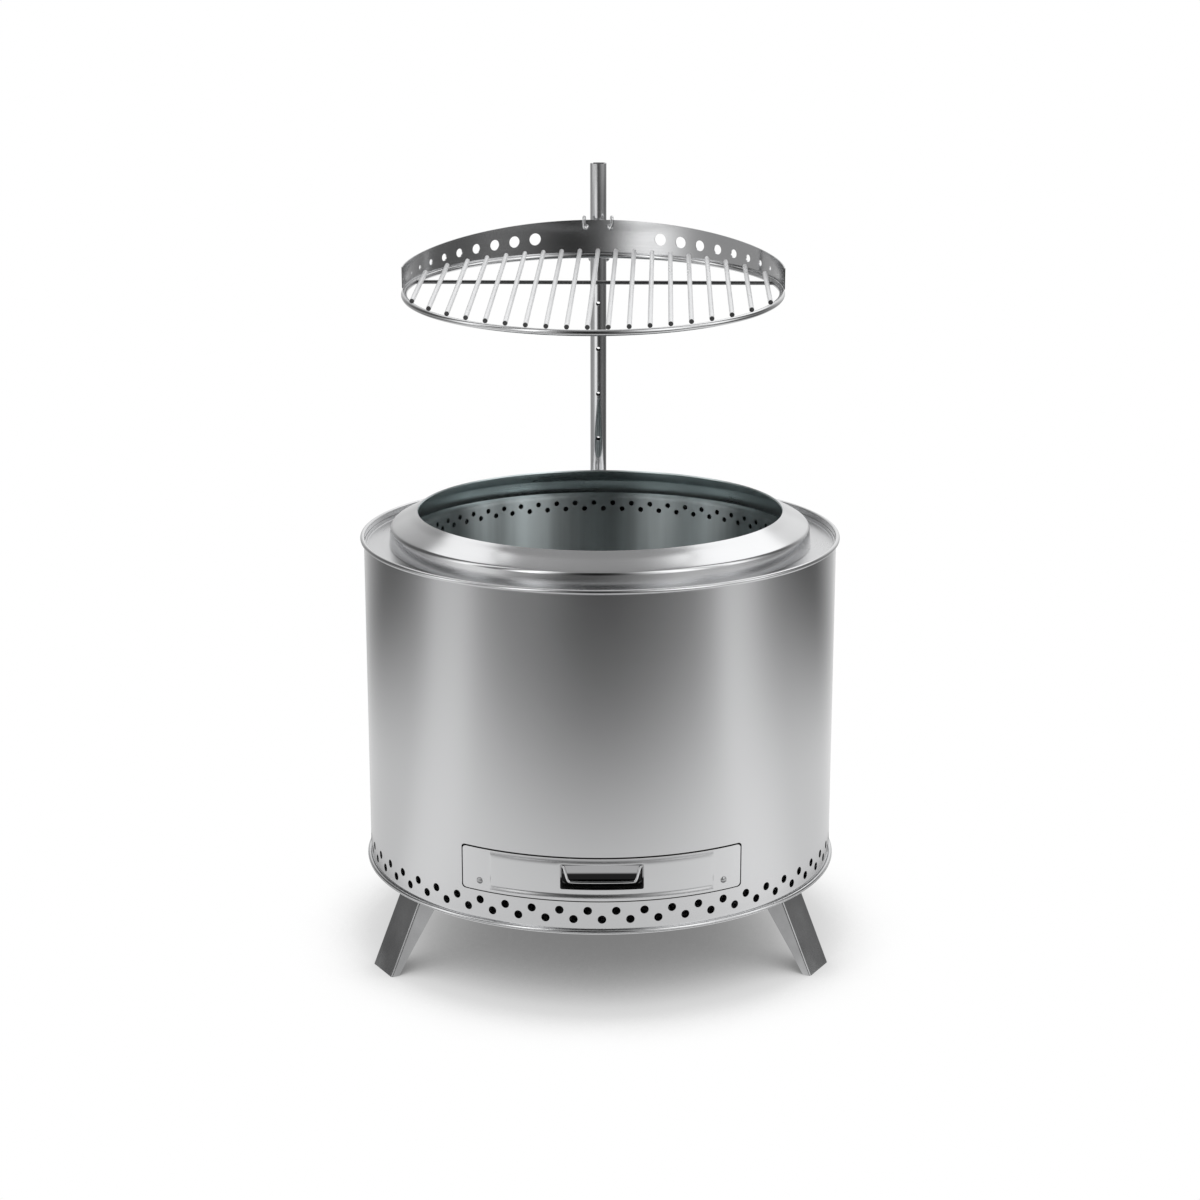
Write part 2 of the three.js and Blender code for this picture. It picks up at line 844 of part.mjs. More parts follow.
function postSocket() {
  const innerRadius = postRadius + socketGap;
  const outerRadius = innerRadius + socketWall;
  const plateBottom = deckTop + seatGap;
  const plateTop = plateBottom + socketFlangeSheet;
  const bottom = deckTop - socketDepth;
  const half = socketFlangeLength / 2;
  const end = socketFlangeWidth / 2;
  const stadium = [
    ...arc(point(half - end, 0), end, -90, 90, socketEndSteps),
    ...arc(point(-half + end, 0), end, 90, 270, socketEndSteps),
  ];
  const plate = prismAlongZ(stadium, plateBottom, plateTop);
  const tube = solidDisc(outerRadius, bottom, plateTop, tubeSides);
  const bore = solidDisc(innerRadius, bottom + socketWall, plateTop + cutOverrun, tubeSides);
  const screwHole = (x) => uprightCylinder(
    screwShank + screwHoleGap,
    x,
    0,
    plateBottom - cutOverrun,
    plateTop + cutOverrun,
    screwSides,
  );
  return cutBy(joined(plate, tube), [
    bore,
    screwHole(-socketScrewSpacing / 2),
    screwHole(socketScrewSpacing / 2),
  ]).translate(0, postY, 0);
}

function socketScrew(side) {
  return screw(screwShank, screwHead, screwHeadHeight, socketFlangeSheet + seatGap + deckSheet + screwTip)
    .translate((side * socketScrewSpacing) / 2, postY, deckTop + socketFlangeSheet + 2 * seatGap);
}

function post() {
  const bottom = deckTop - socketDepth + socketWall + seatGap;
  const tube = turned([
    point(postRadius - postWall, bottom),
    point(postRadius, bottom),
    point(postRadius, postTop),
    point(postRadius - postWall, postTop),
  ], tubeSides);
  const holes = Array.from({ length: postHoleCount }, (_, i) => radialCylinder(
    postHoleRadius,
    -postRadius - cutOverrun,
    postRadius + cutOverrun,
    0,
    lockZ - i * postHolePitch,
    screwSides,
  ));
  return cutBy(tube, holes);
}

// Carrier, lock and hooks, about the post's axis

function grateCarrier() {
  const top = sleeveBottom + sleeveHeight;
  const sleeve = solidDisc(sleeveRadius, sleeveBottom, top, tubeSides);
  const half = carrierPlateWidth / 2;
  const plate = box(-half, half, -plateFront, -plateFront + carrierPlateSheet, sleeveBottom, top);
  const tongue = box(
    -tongueWidth / 2,
    tongueWidth / 2,
    tongueInner,
    tongueOuter,
    lockZ - bossEdge,
    top,
  );
  const boss = radialCylinder(
    bossRadius,
    tongueOuter - tongueSheet / 2,
    tongueOuter + bossLength,
    Math.PI,
    lockZ,
    tubeSides,
  );
  const bore = solidDisc(postRadius + sleeveGap, sleeveBottom - cutOverrun, top + cutOverrun, tubeSides);
  const pinBore = radialCylinder(
    lockPinRadius + lockPinGap,
    postRadius,
    tongueOuter + bossLength + cutOverrun,
    Math.PI,
    lockZ,
    tubeSides,
  );
  return cutBy(joined(sleeve, plate, tongue, boss), [bore, pinBore]);
}

function lockKnob() {
  const tip = postRadius + seatGap;
  const knobFront = tongueOuter + bossLength + seatGap;
  return turned([
    point(0, tip),
    point(lockPinRadius, tip),
    point(lockPinRadius, knobFront),
    point(bossRadius, knobFront),
    point(lockKnobRadius, knobFront + lockKnobWaist),
    point(lockKnobRadius, knobRear - lockKnobWaist),
    point(lockKnobRadius - lockKnobWaist, knobRear),
    point(0, knobRear),
  ], tubeSides).rotateX(-Math.PI / 2).translate(0, 0, lockZ);
}

// The grate's own frame: its ring lies in z = 0 with its centre at the origin, and droops to the front.
const grateOrigin = new THREE.Vector3(
  0,
  -plateFront - seatGap - bandRadius * Math.cos(grateDroop) + bandFoot * Math.sin(grateDroop),
  lockZ - grateBelowHole,
);

function fromGrate(x, y, z) {
  return new THREE.Vector3(x, y, z)
    .applyAxisAngle(new THREE.Vector3(1, 0, 0), grateDroop)
    .add(grateOrigin);
}

function hook(side) {
  const stemX = hookSpread;
  const holeX = hookSpread - hookHoleInset;
  const bandY = (x, radius) => Math.sqrt(radius ** 2 - x ** 2);
  const bandTop = fromGrate(stemX, bandY(stemX, bandRadius - bandSheet), bandBackHeight);
  const hole = fromGrate(holeX, bandY(holeX, bandRadius - bandSheet), bandBackHeight - hookHoleDrop);
  const rear = -plateFront + carrierPlateSheet + seatGap + hookWire;
  const front = bandTop.y - seatGap - hookWire;
  const topZ = bandTop.z + hookOverBand;
  const cornerCut = hookCornerShare * hookCorner;
  const route = [
    [stemX, rear, sleeveBottom + hookStemFoot],
    [stemX, rear, topZ - 2 * hookCorner],
    [stemX, rear - cornerCut, topZ - cornerCut],
    [stemX, (rear + front) / 2, topZ],
    [stemX, front + cornerCut, topZ - cornerCut],
    [stemX, front, topZ - 2 * hookCorner],
    [stemX, front, hole.z],
    ...hookCurlShares.map(([insetShare, curlShare, wireShare]) => [
      stemX - insetShare * hookHoleInset,
      front + wireShare * hookWire,
      hole.z - curlShare * hookCurl,
    ]),
    [holeX, hole.y + bandSheet / 2, hole.z],
    [holeX, hole.y + bandSheet + hookWire / 2, hole.z],
  ];
  return wire(route.map(([x, y, z]) => new THREE.Vector3(side * x, y, z)), hookWire, hookSides, hookSteps);
}

// Cooking grate

function grateRing() {
  return turned(arc(point(ringRadius, 0), ringWire, 0, fullTurn - fullTurn / wireSides, wireSides - 1));
}

function grateBar(index) {
  const x = (index - (barCount - 1) / 2) * barSpacing;
  const front = -Math.sqrt((ringRadius + ringWire / 2) ** 2 - x ** 2);
  const back = Math.sqrt((bandRadius - bandSheet - barBandGap) ** 2 - (Math.abs(x) + barWire) ** 2);
  return roundEndedBar(barWire, front, back, barSides).translate(x, 0, ringWire + seatGap + barWire);
}

function grateBrace() {
  const z = ringWire - braceWire;
  const reach = Math.sqrt((ringRadius - ringWire - seatGap) ** 2 - (braceSetback + braceWire) ** 2);
  return new THREE.CylinderGeometry(braceWire, braceWire, 2 * reach, wireSides)
    .rotateZ(Math.PI / 2)
    .translate(0, braceSetback, z);
}

function bandHeight(angle) {
  return bandEndHeight + (bandBackHeight - bandEndHeight) * Math.cos(angle) ** 2;
}

function grateBand() {
  const columns = Array.from({ length: bandSegments + 1 }, (_, i) => {
    const angle = THREE.MathUtils.degToRad(-bandHalfAngle + (2 * bandHalfAngle * i) / bandSegments);
    return { angle, top: bandHeight(angle) };
  });
  const corner = ({ angle }, radius, z) => [radius * Math.sin(angle), radius * Math.cos(angle), z];
  const positions = columns.flatMap((column) => [
    ...corner(column, bandRadius, bandFoot),
    ...corner(column, bandRadius, column.top),
    ...corner(column, bandRadius - bandSheet, column.top),
    ...corner(column, bandRadius - bandSheet, bandFoot),
  ]);
  const faces = [0, 2, 1, 0, 3, 2];
  for (let i = 0; i < bandSegments; i += 1) {
    for (let side = 0; side < 4; side += 1) {
      const a = 4 * i + side;
      const b = 4 * i + ((side + 1) % 4);
      faces.push(a, b, a + 4, b, b + 4, a + 4);
    }
  }
  const last = 4 * bandSegments;
  faces.push(last, last + 1, last + 2, last, last + 2, last + 3);
  const strip = new THREE.BufferGeometry();
  strip.setAttribute('position', new THREE.Float32BufferAttribute(positions, 3));
  strip.setIndex(faces);

  const air = Array.from({ length: bandHolesPerSide }, (_, i) => {
    const angle = THREE.MathUtils.degToRad(bandFirstHoleAngle + i * bandHoleAngle);
    return [-1, 1].map((side) => radialCylinder(
      bandHoleRadius * Math.cos(angle),
      bandRadius - cutOverrun,
      bandRadius + cutOverrun,
      Math.PI + side * angle,
      (bandFirstHoleShare - i * bandHoleFallShare) * bandBackHeight,
      screwSides,
    ));
  }).flat();
  const holeX = hookSpread - hookHoleInset;
  const hookHoles = [-1, 1].map((side) => radialCylinder(
    hookWire + hookHoleGap,
    bandRadius - cutOverrun,
    bandRadius + cutOverrun,
    Math.PI + side * Math.asin(holeX / bandRadius),
    bandBackHeight - hookHoleDrop,
    screwSides,
  ));
  return cutBy(strip, [...air, ...hookHoles]);
}

// Assembly

piece('outer_drum', outerDrum(), brushedSteel);
piece('top_deck', topDeck(), brushedSteel);
piece('base_pan', basePan(), smokedSteel);
piece('fire_barrel', fireBarrel(), smokedSteel);
piece('flame_collar', flameCollar(), brushedSteel);
piece('fire_grate', fireGrate(), darkSteel);

legNames.forEach((name, i) => {
  const angle = THREE.MathUtils.degToRad(legAngles[i]);
  piece(`leg_${name}`, leg(angle), brushedSteel);
  legScrewPlaces(angle).forEach((place, k) => {
    piece(`leg_screw_${name}_${k + 1}`, legScrew(place), darkSteel);
  });
});

piece('ash_pan', ashPan(), smokedSteel);
piece('drawer_front', drawerFront(), brushedSteel);
piece('handle_dish', handleDish(), darkSteel);
piece('handle_bail', handleBail(), brightSteel);
for (const [name, side] of [['left', -1], ['right', 1]]) {
  piece(`drawer_rivet_${name}`, drawerRivet(side), brightSteel);
  piece(`drawer_guide_${name}`, drawerGuide(side), smokedSteel);
}

piece('post_socket', postSocket(), brushedSteel);
piece('socket_screw_left', socketScrew(-1), darkSteel);
piece('socket_screw_right', socketScrew(1), darkSteel);

const swing = new THREE.Group();
swing.position.set(0, postY, 0);
swing.rotation.z = swingAngle;
firePit.add(swing);
piece('post', post(), brushedSteel, swing);
piece('grate_carrier', grateCarrier(), brushedSteel, swing);
piece('lock_knob', lockKnob(), darkSteel, swing);
piece('hook_left', hook(-1), brightSteel, swing);
piece('hook_right', hook(1), brightSteel, swing);

const grate = new THREE.Group();
grate.position.copy(grateOrigin);
grate.rotation.x = grateDroop;
swing.add(grate);
piece('grate_ring', grateRing(), brushedSteel, grate);
piece('grate_band', grateBand(), darkSteel, grate);
piece('grate_brace', grateBrace(), darkSteel, grate);
for (let i = 0; i < barCount; i += 1) {
  piece(`grate_bar_${String(i + 1).padStart(2, '0')}`, grateBar(i), brightSteel, grate);
}

// The origin is the middle of the footprint.
const extent = new THREE.Box3().setFromObject(firePit, true);
firePit.position.x = -(extent.min.x + extent.max.x) / 2;
firePit.position.y = -(extent.min.y + extent.max.y) / 2;

export default firePit;
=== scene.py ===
"""Looks of a round steel fire pit with a swinging cooking grate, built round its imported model.

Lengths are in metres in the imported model's frame: +Z up, the drawer towards -Y.
"""

from math import asin, atan2, cos, degrees, hypot, pi, radians, sin, sqrt, tan

import bpy
from mathutils import Matrix, Vector
from mathutils.geometry import delaunay_2d_cdt


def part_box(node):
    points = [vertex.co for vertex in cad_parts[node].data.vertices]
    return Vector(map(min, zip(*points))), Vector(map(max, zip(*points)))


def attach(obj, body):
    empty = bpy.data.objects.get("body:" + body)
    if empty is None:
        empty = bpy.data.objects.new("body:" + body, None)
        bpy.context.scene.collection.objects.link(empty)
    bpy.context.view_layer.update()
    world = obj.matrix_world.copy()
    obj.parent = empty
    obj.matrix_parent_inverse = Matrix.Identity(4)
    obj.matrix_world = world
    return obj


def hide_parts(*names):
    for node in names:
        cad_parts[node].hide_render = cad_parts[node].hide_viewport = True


MM = 0.001
TAU = 2 * pi

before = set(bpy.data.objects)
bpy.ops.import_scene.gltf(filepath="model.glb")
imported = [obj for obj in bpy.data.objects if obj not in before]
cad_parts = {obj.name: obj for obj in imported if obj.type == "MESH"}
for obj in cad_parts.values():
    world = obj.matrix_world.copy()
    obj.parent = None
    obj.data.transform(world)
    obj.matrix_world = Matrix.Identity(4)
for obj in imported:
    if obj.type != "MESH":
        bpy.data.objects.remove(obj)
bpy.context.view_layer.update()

# Fineness of the meshes
SIDES = {"left": -1, "right": 1}
COLUMNS = 240  # facets round the drum
FINE_COLUMNS = 96  # facets round a post or a knob
HOLE_STEPS = 28
BEND_STEPS = 8
WIRE_SIDES = 20
CREASE = radians(34)
CUT_WELD = 1e-7


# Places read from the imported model


def round_place(node):
    """(centre, radius, low, high) of an upright round node."""
    low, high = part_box(node)
    centre = (low + high) / 2
    centre.z = 0
    return centre, (high.x - low.x) / 2, low.z, high.z


AXIS, BEAD_REACH, FOOT_Z, RIM_Z = round_place("outer_drum")
AT_AXIS = Matrix.Translation(AXIS)
POST_AXIS, POST_RADIUS, POST_LOW, POST_TOP = round_place("post")
DECK_RADIUS, DECK_LOW = round_place("top_deck")[1:3]
FLANGE_RADIUS, SPOUT_Z, FLANGE_Z = round_place("fire_barrel")[1:]
COLLAR_RADIUS, _, COLLAR_LIP_Z = round_place("flame_collar")[1:]
PAN_RADIUS, PAN_LOW, PAN_HIGH = round_place("base_pan")[1:]
COAL_RADIUS, COAL_LOW, COAL_HIGH = round_place("fire_grate")[1:]

# Drum
SEAT_GAP = 0.3 * MM
DRUM_SHEET = 1.2 * MM
BEAD_RADIUS = 2.9 * MM
BEAD_TIP = radians(120)
DRUM_RADIUS = BEAD_REACH - 2 * BEAD_RADIUS + DRUM_SHEET
VENT_RADIUS = 5.2 * MM
VENT_COUNT = 55
VENT_RISES = (18.4 * MM, 29.5 * MM)
VENT_MARGIN = 1.2 * MM
OPENING_LOW = FOOT_Z + 40.5 * MM
OPENING_HIGH = FOOT_Z + 97.4 * MM
OPENING_HALF = 170.2 * MM
OPENING_CORNER = 4.5 * MM

# Deck and barrel
DECK_SHEET = 1.5 * MM
DECK_UPSTAND = 6 * MM
DECK_TOP = DECK_LOW + DECK_SHEET
BARREL_RADIUS = 240 * MM
BARREL_SHEET = 1.5 * MM
BARREL_LEDGE = 20 * MM
FUNNEL_RADIUS = 150 * MM
FUNNEL_SPOUT = 6 * MM
AIR_HOLE_RADIUS = 3.5 * MM
AIR_HOLE_COUNT = 58
AIR_HOLE_DROPS = (12.6 * MM, 4.5 * MM)
AIR_HOLE_TURN = radians(-1.55)
# Painted shade: faces this near the barrel's flange edge, above the deck, are near-black for the crevice
# under the collar
CREVICE_SHADE_REACH = 5 * MM
SHEET_BEND = 3 * MM

# Collar
COLLAR_SHEET = 2 * MM
COLLAR_LIP_RADIUS = 232.3 * MM
COLLAR_SKIRT = 17 * MM
COLLAR_FLARE = 2.4 * MM
COLLAR_SHOULDER = 6 * MM
COLLAR_SAG = 0.6 * MM  # the cone's slight hollow, which steepens it towards the lip

# Coal grate and base pan
COAL_HOLE_RADIUS = 7 * MM
COAL_PITCH = 60 * MM
COAL_RINGS = 3

# Drawer
PANEL_GAP = 1.3 * MM
PANEL_TOP_GAP = 2.0 * MM
EMBOSS_RAISE = 1.0 * MM
EMBOSS_LIP_RAISE = 1.0 * MM  # of the field's lower edge, above the field
EMBOSS_LIP = 6.5 * MM
EMBOSS_HALF = 135.5 * MM
EMBOSS_LOW = OPENING_LOW + 4.5 * MM
EMBOSS_HIGH = EMBOSS_LOW + 46.5 * MM
EMBOSS_LOWER_BEVEL = 1.6 * MM
EMBOSS_UPPER_BEVEL = 0.8 * MM
EMBOSS_SIDE_BEVEL = 1.4 * MM
POCKET_CORNER = 2 * MM
POCKET_SHEET = 1.2 * MM
POCKET_FILLET = 3 * MM
# Painted shade: below these rises above its bottom, the dish fades to a small share of its tone
DISH_SHADE_RISES = (13 * MM, 16 * MM)
DISH_SHADE_SHARE = 0.04
BAIL_PIVOT_DROP = 3.3 * MM
BAIL_INSET = 11.5 * MM
BAIL_SHARES = [  # of the inset and of the drop, from the pivot to the pull's middle
    (0, 0), (0.14, 0), (0.28, 0.07), (0.46, 0.36), (0.68, 0.8), (0.84, 0.96), (1.08, 1)
]
BAIL_RADIUS = 2 * MM
RIVET_ANGLE = radians(29.5)
RIVET_RISE = 13.5 * MM
RIVET_RADIUS = 4.2 * MM
RIVET_HEIGHT = 1.9 * MM

# Legs
LEG_ANGLES = {"right": radians(60), "rear": radians(180), "left": radians(300)}
LEG_FOOT_RADIUS = 320.2 * MM
LEG_SPLAY = radians(23.7)
LEG_WIDTH = 52.8 * MM
LEG_SHEET = 2 * MM
LEG_BEND = 2.6 * MM
LEG_FLANGE_TOP = 35 * MM
LEG_FLANGE_FOOT = 10.5 * MM
LEG_TAB = 26 * MM
LEG_TOP = PAN_LOW - SEAT_GAP
SCREW_HEAD = 3 * MM

# Post, socket and carrier
POST_WALL = 1.5 * MM
POST_HOLE_RADIUS = 3 * MM
POST_HOLE_PITCH = 62.1 * MM
POST_HOLE_COUNT = 5
LOCK_Z = POST_TOP - 126 * MM
SLEEVE_LOW = LOCK_Z + 15.5 * MM
SLEEVE_GAP = 0.5 * MM
CARRIER_SHEET = 2 * MM
CARRIER_FRONT = POST_RADIUS + 4 * MM
TONGUE_INNER = POST_RADIUS + 0.6 * MM
TONGUE_OUTER = TONGUE_INNER + 2.5 * MM
BOSS_END = TONGUE_OUTER + 12 * MM
SWING = radians(-1.9)

# Cooking grate
DROOP = radians(4)
RING_WIRE = 3.75 * MM
RING_RADIUS = 237.2 * MM
BAR_RADIUS = 3 * MM
BRACE_RADIUS = 2.5 * MM
BRACE_SETBACK = 50 * MM
BAND_SHEET = 1.5 * MM
BAND_BACK = 48 * MM
BAND_END = 30 * MM
BAND_FOOT = 3.2 * MM
BAND_HOLE_RADIUS = 8.65 * MM  # shrinks with the cosine of the hole's angle
BAND_HOLES = 9
BAND_FIRST_ANGLE = radians(20.5)
BAND_HOLE_ANGLE = radians(7.1)
BAND_FIRST_SHARE = 0.5  # of the band's height at the back
BAND_FALL_SHARE = 0.03
BAND_RADIUS = RING_RADIUS + RING_WIRE
HOOK_RADIUS = 2.25 * MM
HOOK_HOLE_SIDE = 14.8 * MM
HOOK_HOLE_HEIGHT = BAND_BACK - 8.5 * MM


# Meshes


class Shape:
    """Vertices, faces and, where they are known exactly, the faces' corner normals."""

    def __init__(self):
        self.vertices = []
        self.faces = []
        self.normals = []

    def vertex(self, point):
        self.vertices.append(Vector(point))
        return len(self.vertices) - 1

    def face(self, corners, normals=None):
        self.faces.append(list(corners))
        self.normals.append(normals)

    def add(self, other):
        start = len(self.vertices)
        self.vertices += other.vertices
        self.faces += [[start + corner for corner in face] for face in other.faces]
        self.normals += other.normals
        return self

    def moved(self, matrix):
        turn = matrix.to_3x3()
        self.vertices = [matrix @ v for v in self.vertices]
        self.normals = [n and [turn @ v for v in n] for n in self.normals]
        return self


def weighted_normals(mesh):
    """Corner normals weighted by area, which keep wide faces flat beside rounded bends."""
    around_vertex = [[] for _ in mesh.vertices]
    for face in mesh.polygons:
        for corner in face.vertices:
            around_vertex[corner].append(face)
    limit = cos(CREASE)
    found = []
    for face in mesh.polygons:
        for corner in face.vertices:
            total = Vector()
            for other in around_vertex[corner]:
                if other.normal.dot(face.normal) > limit:
                    total += other.normal * other.area
            found.append(total.normalized())
    return found


def placed(name, data):
    """A scene object of a mesh or a camera."""
    piece = bpy.data.objects.new(name, data)
    bpy.context.scene.collection.objects.link(piece)
    return piece


def make(name, shape, material, body, node_name):
    """A scene object from a shape, which rides on a body and stands for a node of the model."""
    mesh = bpy.data.meshes.new(name)
    mesh.from_pydata(shape.vertices, [], shape.faces)
    mesh.polygons.foreach_set("use_smooth", [True] * len(mesh.polygons))
    mesh.set_sharp_from_angle(angle=CREASE)
    weighted = iter(weighted_normals(mesh))
    known = [
        given or soft
        for face, normals in zip(shape.faces, shape.normals)
        for given, soft in zip(normals or [None] * len(face), weighted)
    ]
    mesh.normals_split_custom_set(known)
    mesh.materials.append(material)
    piece = placed(name, mesh)
    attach(piece, body)
    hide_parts(node_name)
    return piece


def arc(centre, radius, start, end, steps=BEND_STEPS):
    """Points of an arc in a plane, from one angle to another in degrees."""
    x, y = centre
    angles = [radians(start + (end - start) * i / steps) for i in range(steps + 1)]
    return [(x + radius * cos(a), y + radius * sin(a)) for a in angles]


def circle(centre, radius, steps=HOLE_STEPS):
    return arc(centre, radius, 0, 360, steps)[:-1]


def rounded_rectangle(low_x, high_x, low_y, high_y, corner):
    return [
        *arc((high_x - corner, low_y + corner), corner, -90, 0),
        *arc((high_x - corner, high_y - corner), corner, 0, 90),
        *arc((low_x + corner, high_y - corner), corner, 90, 180),
        *arc((low_x + corner, low_y + corner), corner, 180, 270),
    ]


def bent(corners, radius):
    """A path through corners, with each inner corner rounded."""
    path = [corners[0]]
    for before, corner, after in zip(corners, corners[1:], corners[2:]):
        c = Vector(corner)
        a, b = (Vector(before) - c).normalized(), (Vector(after) - c).normalized()
        half = a.angle(b) / 2
        reach = radius / tan(half)
        centre = c + (a + b).normalized() * radius / sin(half)
        start, end = c + a * reach - centre, c + b * reach - centre
        step = -start.angle_signed(end) / BEND_STEPS
        path += [tuple(centre + Matrix.Rotation(step * i, 2) @ start) for i in range(BEND_STEPS + 1)]
    return [*path, corners[-1]]


def cut_sheet(outline, holes, lines):
    """Divides a flat outline with holes along lines: its points and its anticlockwise faces."""
    points, edges, loops = [], [], []
    for loop in [outline, *holes]:
        area = sum(a[0] * b[1] - a[1] * b[0] for a, b in zip(loop, [*loop[1:], loop[0]]))
        if area < 0:
            loop = loop[::-1]
        ids = range(len(points), len(points) + len(loop))
        points += [Vector(p) for p in loop]
        edges += zip(ids, [*ids[1:], ids[0]])
        loops.append(list(ids))
    for start, end in lines:
        edges.append((len(points), len(points) + 1))
        points += [Vector(start), Vector(end)]
    found = delaunay_2d_cdt(points, edges, loops, 3, CUT_WELD, True)
    faces = [face for face, source in zip(found[2], found[5]) if source == [0]]
    return found[0], faces


def outer_edges(faces):
    """The directed edges that belong to one face only."""
    edges = {(a, b) for face in faces for a, b in zip(face, [*face[1:], face[0]])}
    return [(a, b) for a, b in edges if (b, a) not in edges]


def add_sides(shape, faces, outer, inner, normals):
    """Faces on both sides of a sheet, from its outer and inner vertices at each corner."""
    for face in faces:
        shape.face([outer[i] for i in face], [normals[i] for i in face])
        shape.face([inner[i] for i in reversed(face)], [-normals[i] for i in reversed(face)])


def plate(outline, holes, lines, surface, thickness):
    """A sheet over a surface: surface(u, v) gives a point and its normal on the outer face."""
    points, faces = cut_sheet(outline, holes, lines)
    shape = Shape()
    outer, inner, normals = {}, {}, {}
    for i in {i for face in faces for i in face}:
        point, normals[i] = surface(*points[i])
        outer[i], inner[i] = shape.vertex(point), shape.vertex(point - normals[i] * thickness)
    add_sides(shape, faces, outer, inner, normals)
    for a, b in outer_edges(faces):
        shape.face([outer[b], outer[a], inner[a], inner[b]])
    return shape


def level_plate(outline, holes, low, high):
    return plate(outline, holes, [], lambda x, y: (Vector((x, y, high)), Vector((0, 0, 1))), high - low)


def on_cylinder(radius, angle, height):
    """A point on an upright cylinder, at an angle from -Y towards +X, and the way out of it."""
    way_out = Vector((sin(angle), -cos(angle), 0))
    return way_out * radius + Vector((0, 0, height)), way_out


def turned_normal(flat, angle):
    """The normal of a turned path at an angle, from its flat normal (outward, up)."""
    return Vector((flat.x * sin(angle), -flat.x * cos(angle), flat.y))


def offset_path(path, distance):
    """The path moved to its left, with mitred corners, and each stretch's normal to the right."""
    points = [Vector(p) for p in path]
    ways = [(b - a).normalized() for a, b in zip(points, points[1:])]
    rights = [Vector((w.y, -w.x)) for w in ways]
    moved = []
    for i, p in enumerate(points):
        before, after = rights[max(i - 1, 0)], rights[min(i, len(rights) - 1)]
        mitre = (before + after).normalized()
        moved.append(p - mitre * distance / mitre.dot(before))
    return moved, rights


def corner_normal(rights, i, row):
    """The normal at point i of a path, as seen from one of its stretches."""
    other = i - 1 if row == i else i
    if not 0 <= other < len(rights) or rights[row].angle(rights[other]) > CREASE:
        return rights[row]
    return (rights[row] + rights[other]).normalized()


def turned_sheet(path, thickness, holes=None, start=0.0, columns=COLUMNS):
    """A sheet whose outer face is a path of (radius, height) turned about Z.

    The outer face is on the path's right. holes gives loops of (angle, distance along the
    stretch) for the stretches of the path that have holes.
    """
    holes = holes or {}
    shape = Shape()
    inner_path, rights = offset_path(path, thickness)
    step = TAU / columns

    def ring(radius, height):
        return [shape.vertex(on_cylinder(radius, start + step * j, height)[0]) for j in range(columns)]

    outer, inner = [ring(*p) for p in path], [ring(*p) for p in inner_path]
    for row in range(len(path) - 1):
        if row in holes:
            add_row_with_holes(shape, path, inner_path, rights[row], row, outer, inner, holes[row], start)
            continue
        low, high = corner_normal(rights, row, row), corner_normal(rights, row + 1, row)
        for j in range(columns):
            k = (j + 1) % columns
            a, b = start + step * j, start + step * (j + 1)
            normals = [turned_normal(*n) for n in ((low, a), (low, b), (high, b), (high, a))]
            corners = [[s[row][j], s[row][k], s[row + 1][k], s[row + 1][j]] for s in (outer, inner)]
            add_sides(shape, [range(4)], *corners, normals)
    for j in range(columns):
        k = (j + 1) % columns
        shape.face([outer[0][j], inner[0][j], inner[0][k], outer[0][k]])
        shape.face([outer[-1][k], inner[-1][k], inner[-1][j], outer[-1][j]])
    return shape


def on_edge(value, limit):
    return min(value, limit - value) < CUT_WELD * 10


def add_row_with_holes(shape, path, inner_path, right, row, outer, inner, loops, start):
    """One straight stretch of a turned sheet, cut by loops of (angle, distance along the stretch)."""
    low, high = Vector(path[row]), Vector(path[row + 1])
    inner_low, inner_high = inner_path[row], inner_path[row + 1]
    length, columns = (high - low).length, len(outer[row])
    scale = max(low.x, high.x)
    width = TAU * scale
    outline = [(width * j / columns, 0) for j in range(columns + 1)]
    outline += [(width * j / columns, length) for j in reversed(range(columns + 1))]
    flat_loops = [[((angle - start) % TAU * scale, along) for angle, along in loop] for loop in loops]
    lines = [((width * j / columns, 0), (width * j / columns, length)) for j in range(1, columns)]
    points, faces = cut_sheet(outline, flat_loops, lines)
    outer_ids, inner_ids, normals = {}, {}, {}
    for i in {i for face in faces for i in face}:
        u, v = points[i]
        angle, share = start + u / scale, v / length
        column = round(u / width * columns) % columns
        if on_edge(v, length):
            level = row if share < 0.5 else row + 1
            outer_ids[i], inner_ids[i] = outer[level][column], inner[level][column]
        else:
            near, far = low.lerp(high, share), inner_low.lerp(inner_high, share)
            outer_ids[i] = shape.vertex(on_cylinder(near.x, angle, near.y)[0])
            inner_ids[i] = shape.vertex(on_cylinder(far.x, angle, far.y)[0])
        normals[i] = turned_normal(right, angle)
    add_sides(shape, faces, outer_ids, inner_ids, normals)
    for a, b in outer_edges(faces):
        (u, v), (s, t) = points[a], points[b]
        on_rim = on_edge(v, length) and on_edge(t, length)
        on_seam = on_edge(u, width) and on_edge(s, width)
        if not (on_rim or on_seam):
            shape.face([outer_ids[b], outer_ids[a], inner_ids[a], inner_ids[b]])


def lathe(profile, columns=FINE_COLUMNS, lobes=0, lobe_depth=0.0):
    """A solid from a profile of (radius, height), low end first, that starts and ends on the axis.
    Lobes scallop its outside."""
    shape = Shape()
    reach = max(radius for radius, _ in profile)
    rings = []
    for radius, height in profile:
        if radius == 0:
            rings.append([shape.vertex((0, 0, height))])
            continue
        ring = []
        for j in range(columns):
            angle = TAU * j / columns
            dent = lobe_depth * (1 - cos(lobes * angle)) / 2 * (radius / reach) ** 3
            ring.append(shape.vertex(on_cylinder(radius - dent, angle, height)[0]))
        rings.append(ring)
    for low, high in zip(rings, rings[1:]):
        for j in range(columns):
            k = (j + 1) % columns
            corners = [low[j % len(low)], low[k % len(low)], high[k % len(high)], high[j % len(high)]]
            shape.face(list(dict.fromkeys(corners)))
    return shape


def loft(loops):
    """A solid through loops of equal count, anticlockwise seen from the high end."""
    shape = Shape()
    rings = [[shape.vertex(p) for p in loop] for loop in loops]
    skin(shape, rings)
    shape.face(rings[0][::-1])
    shape.face(rings[-1])
    return shape


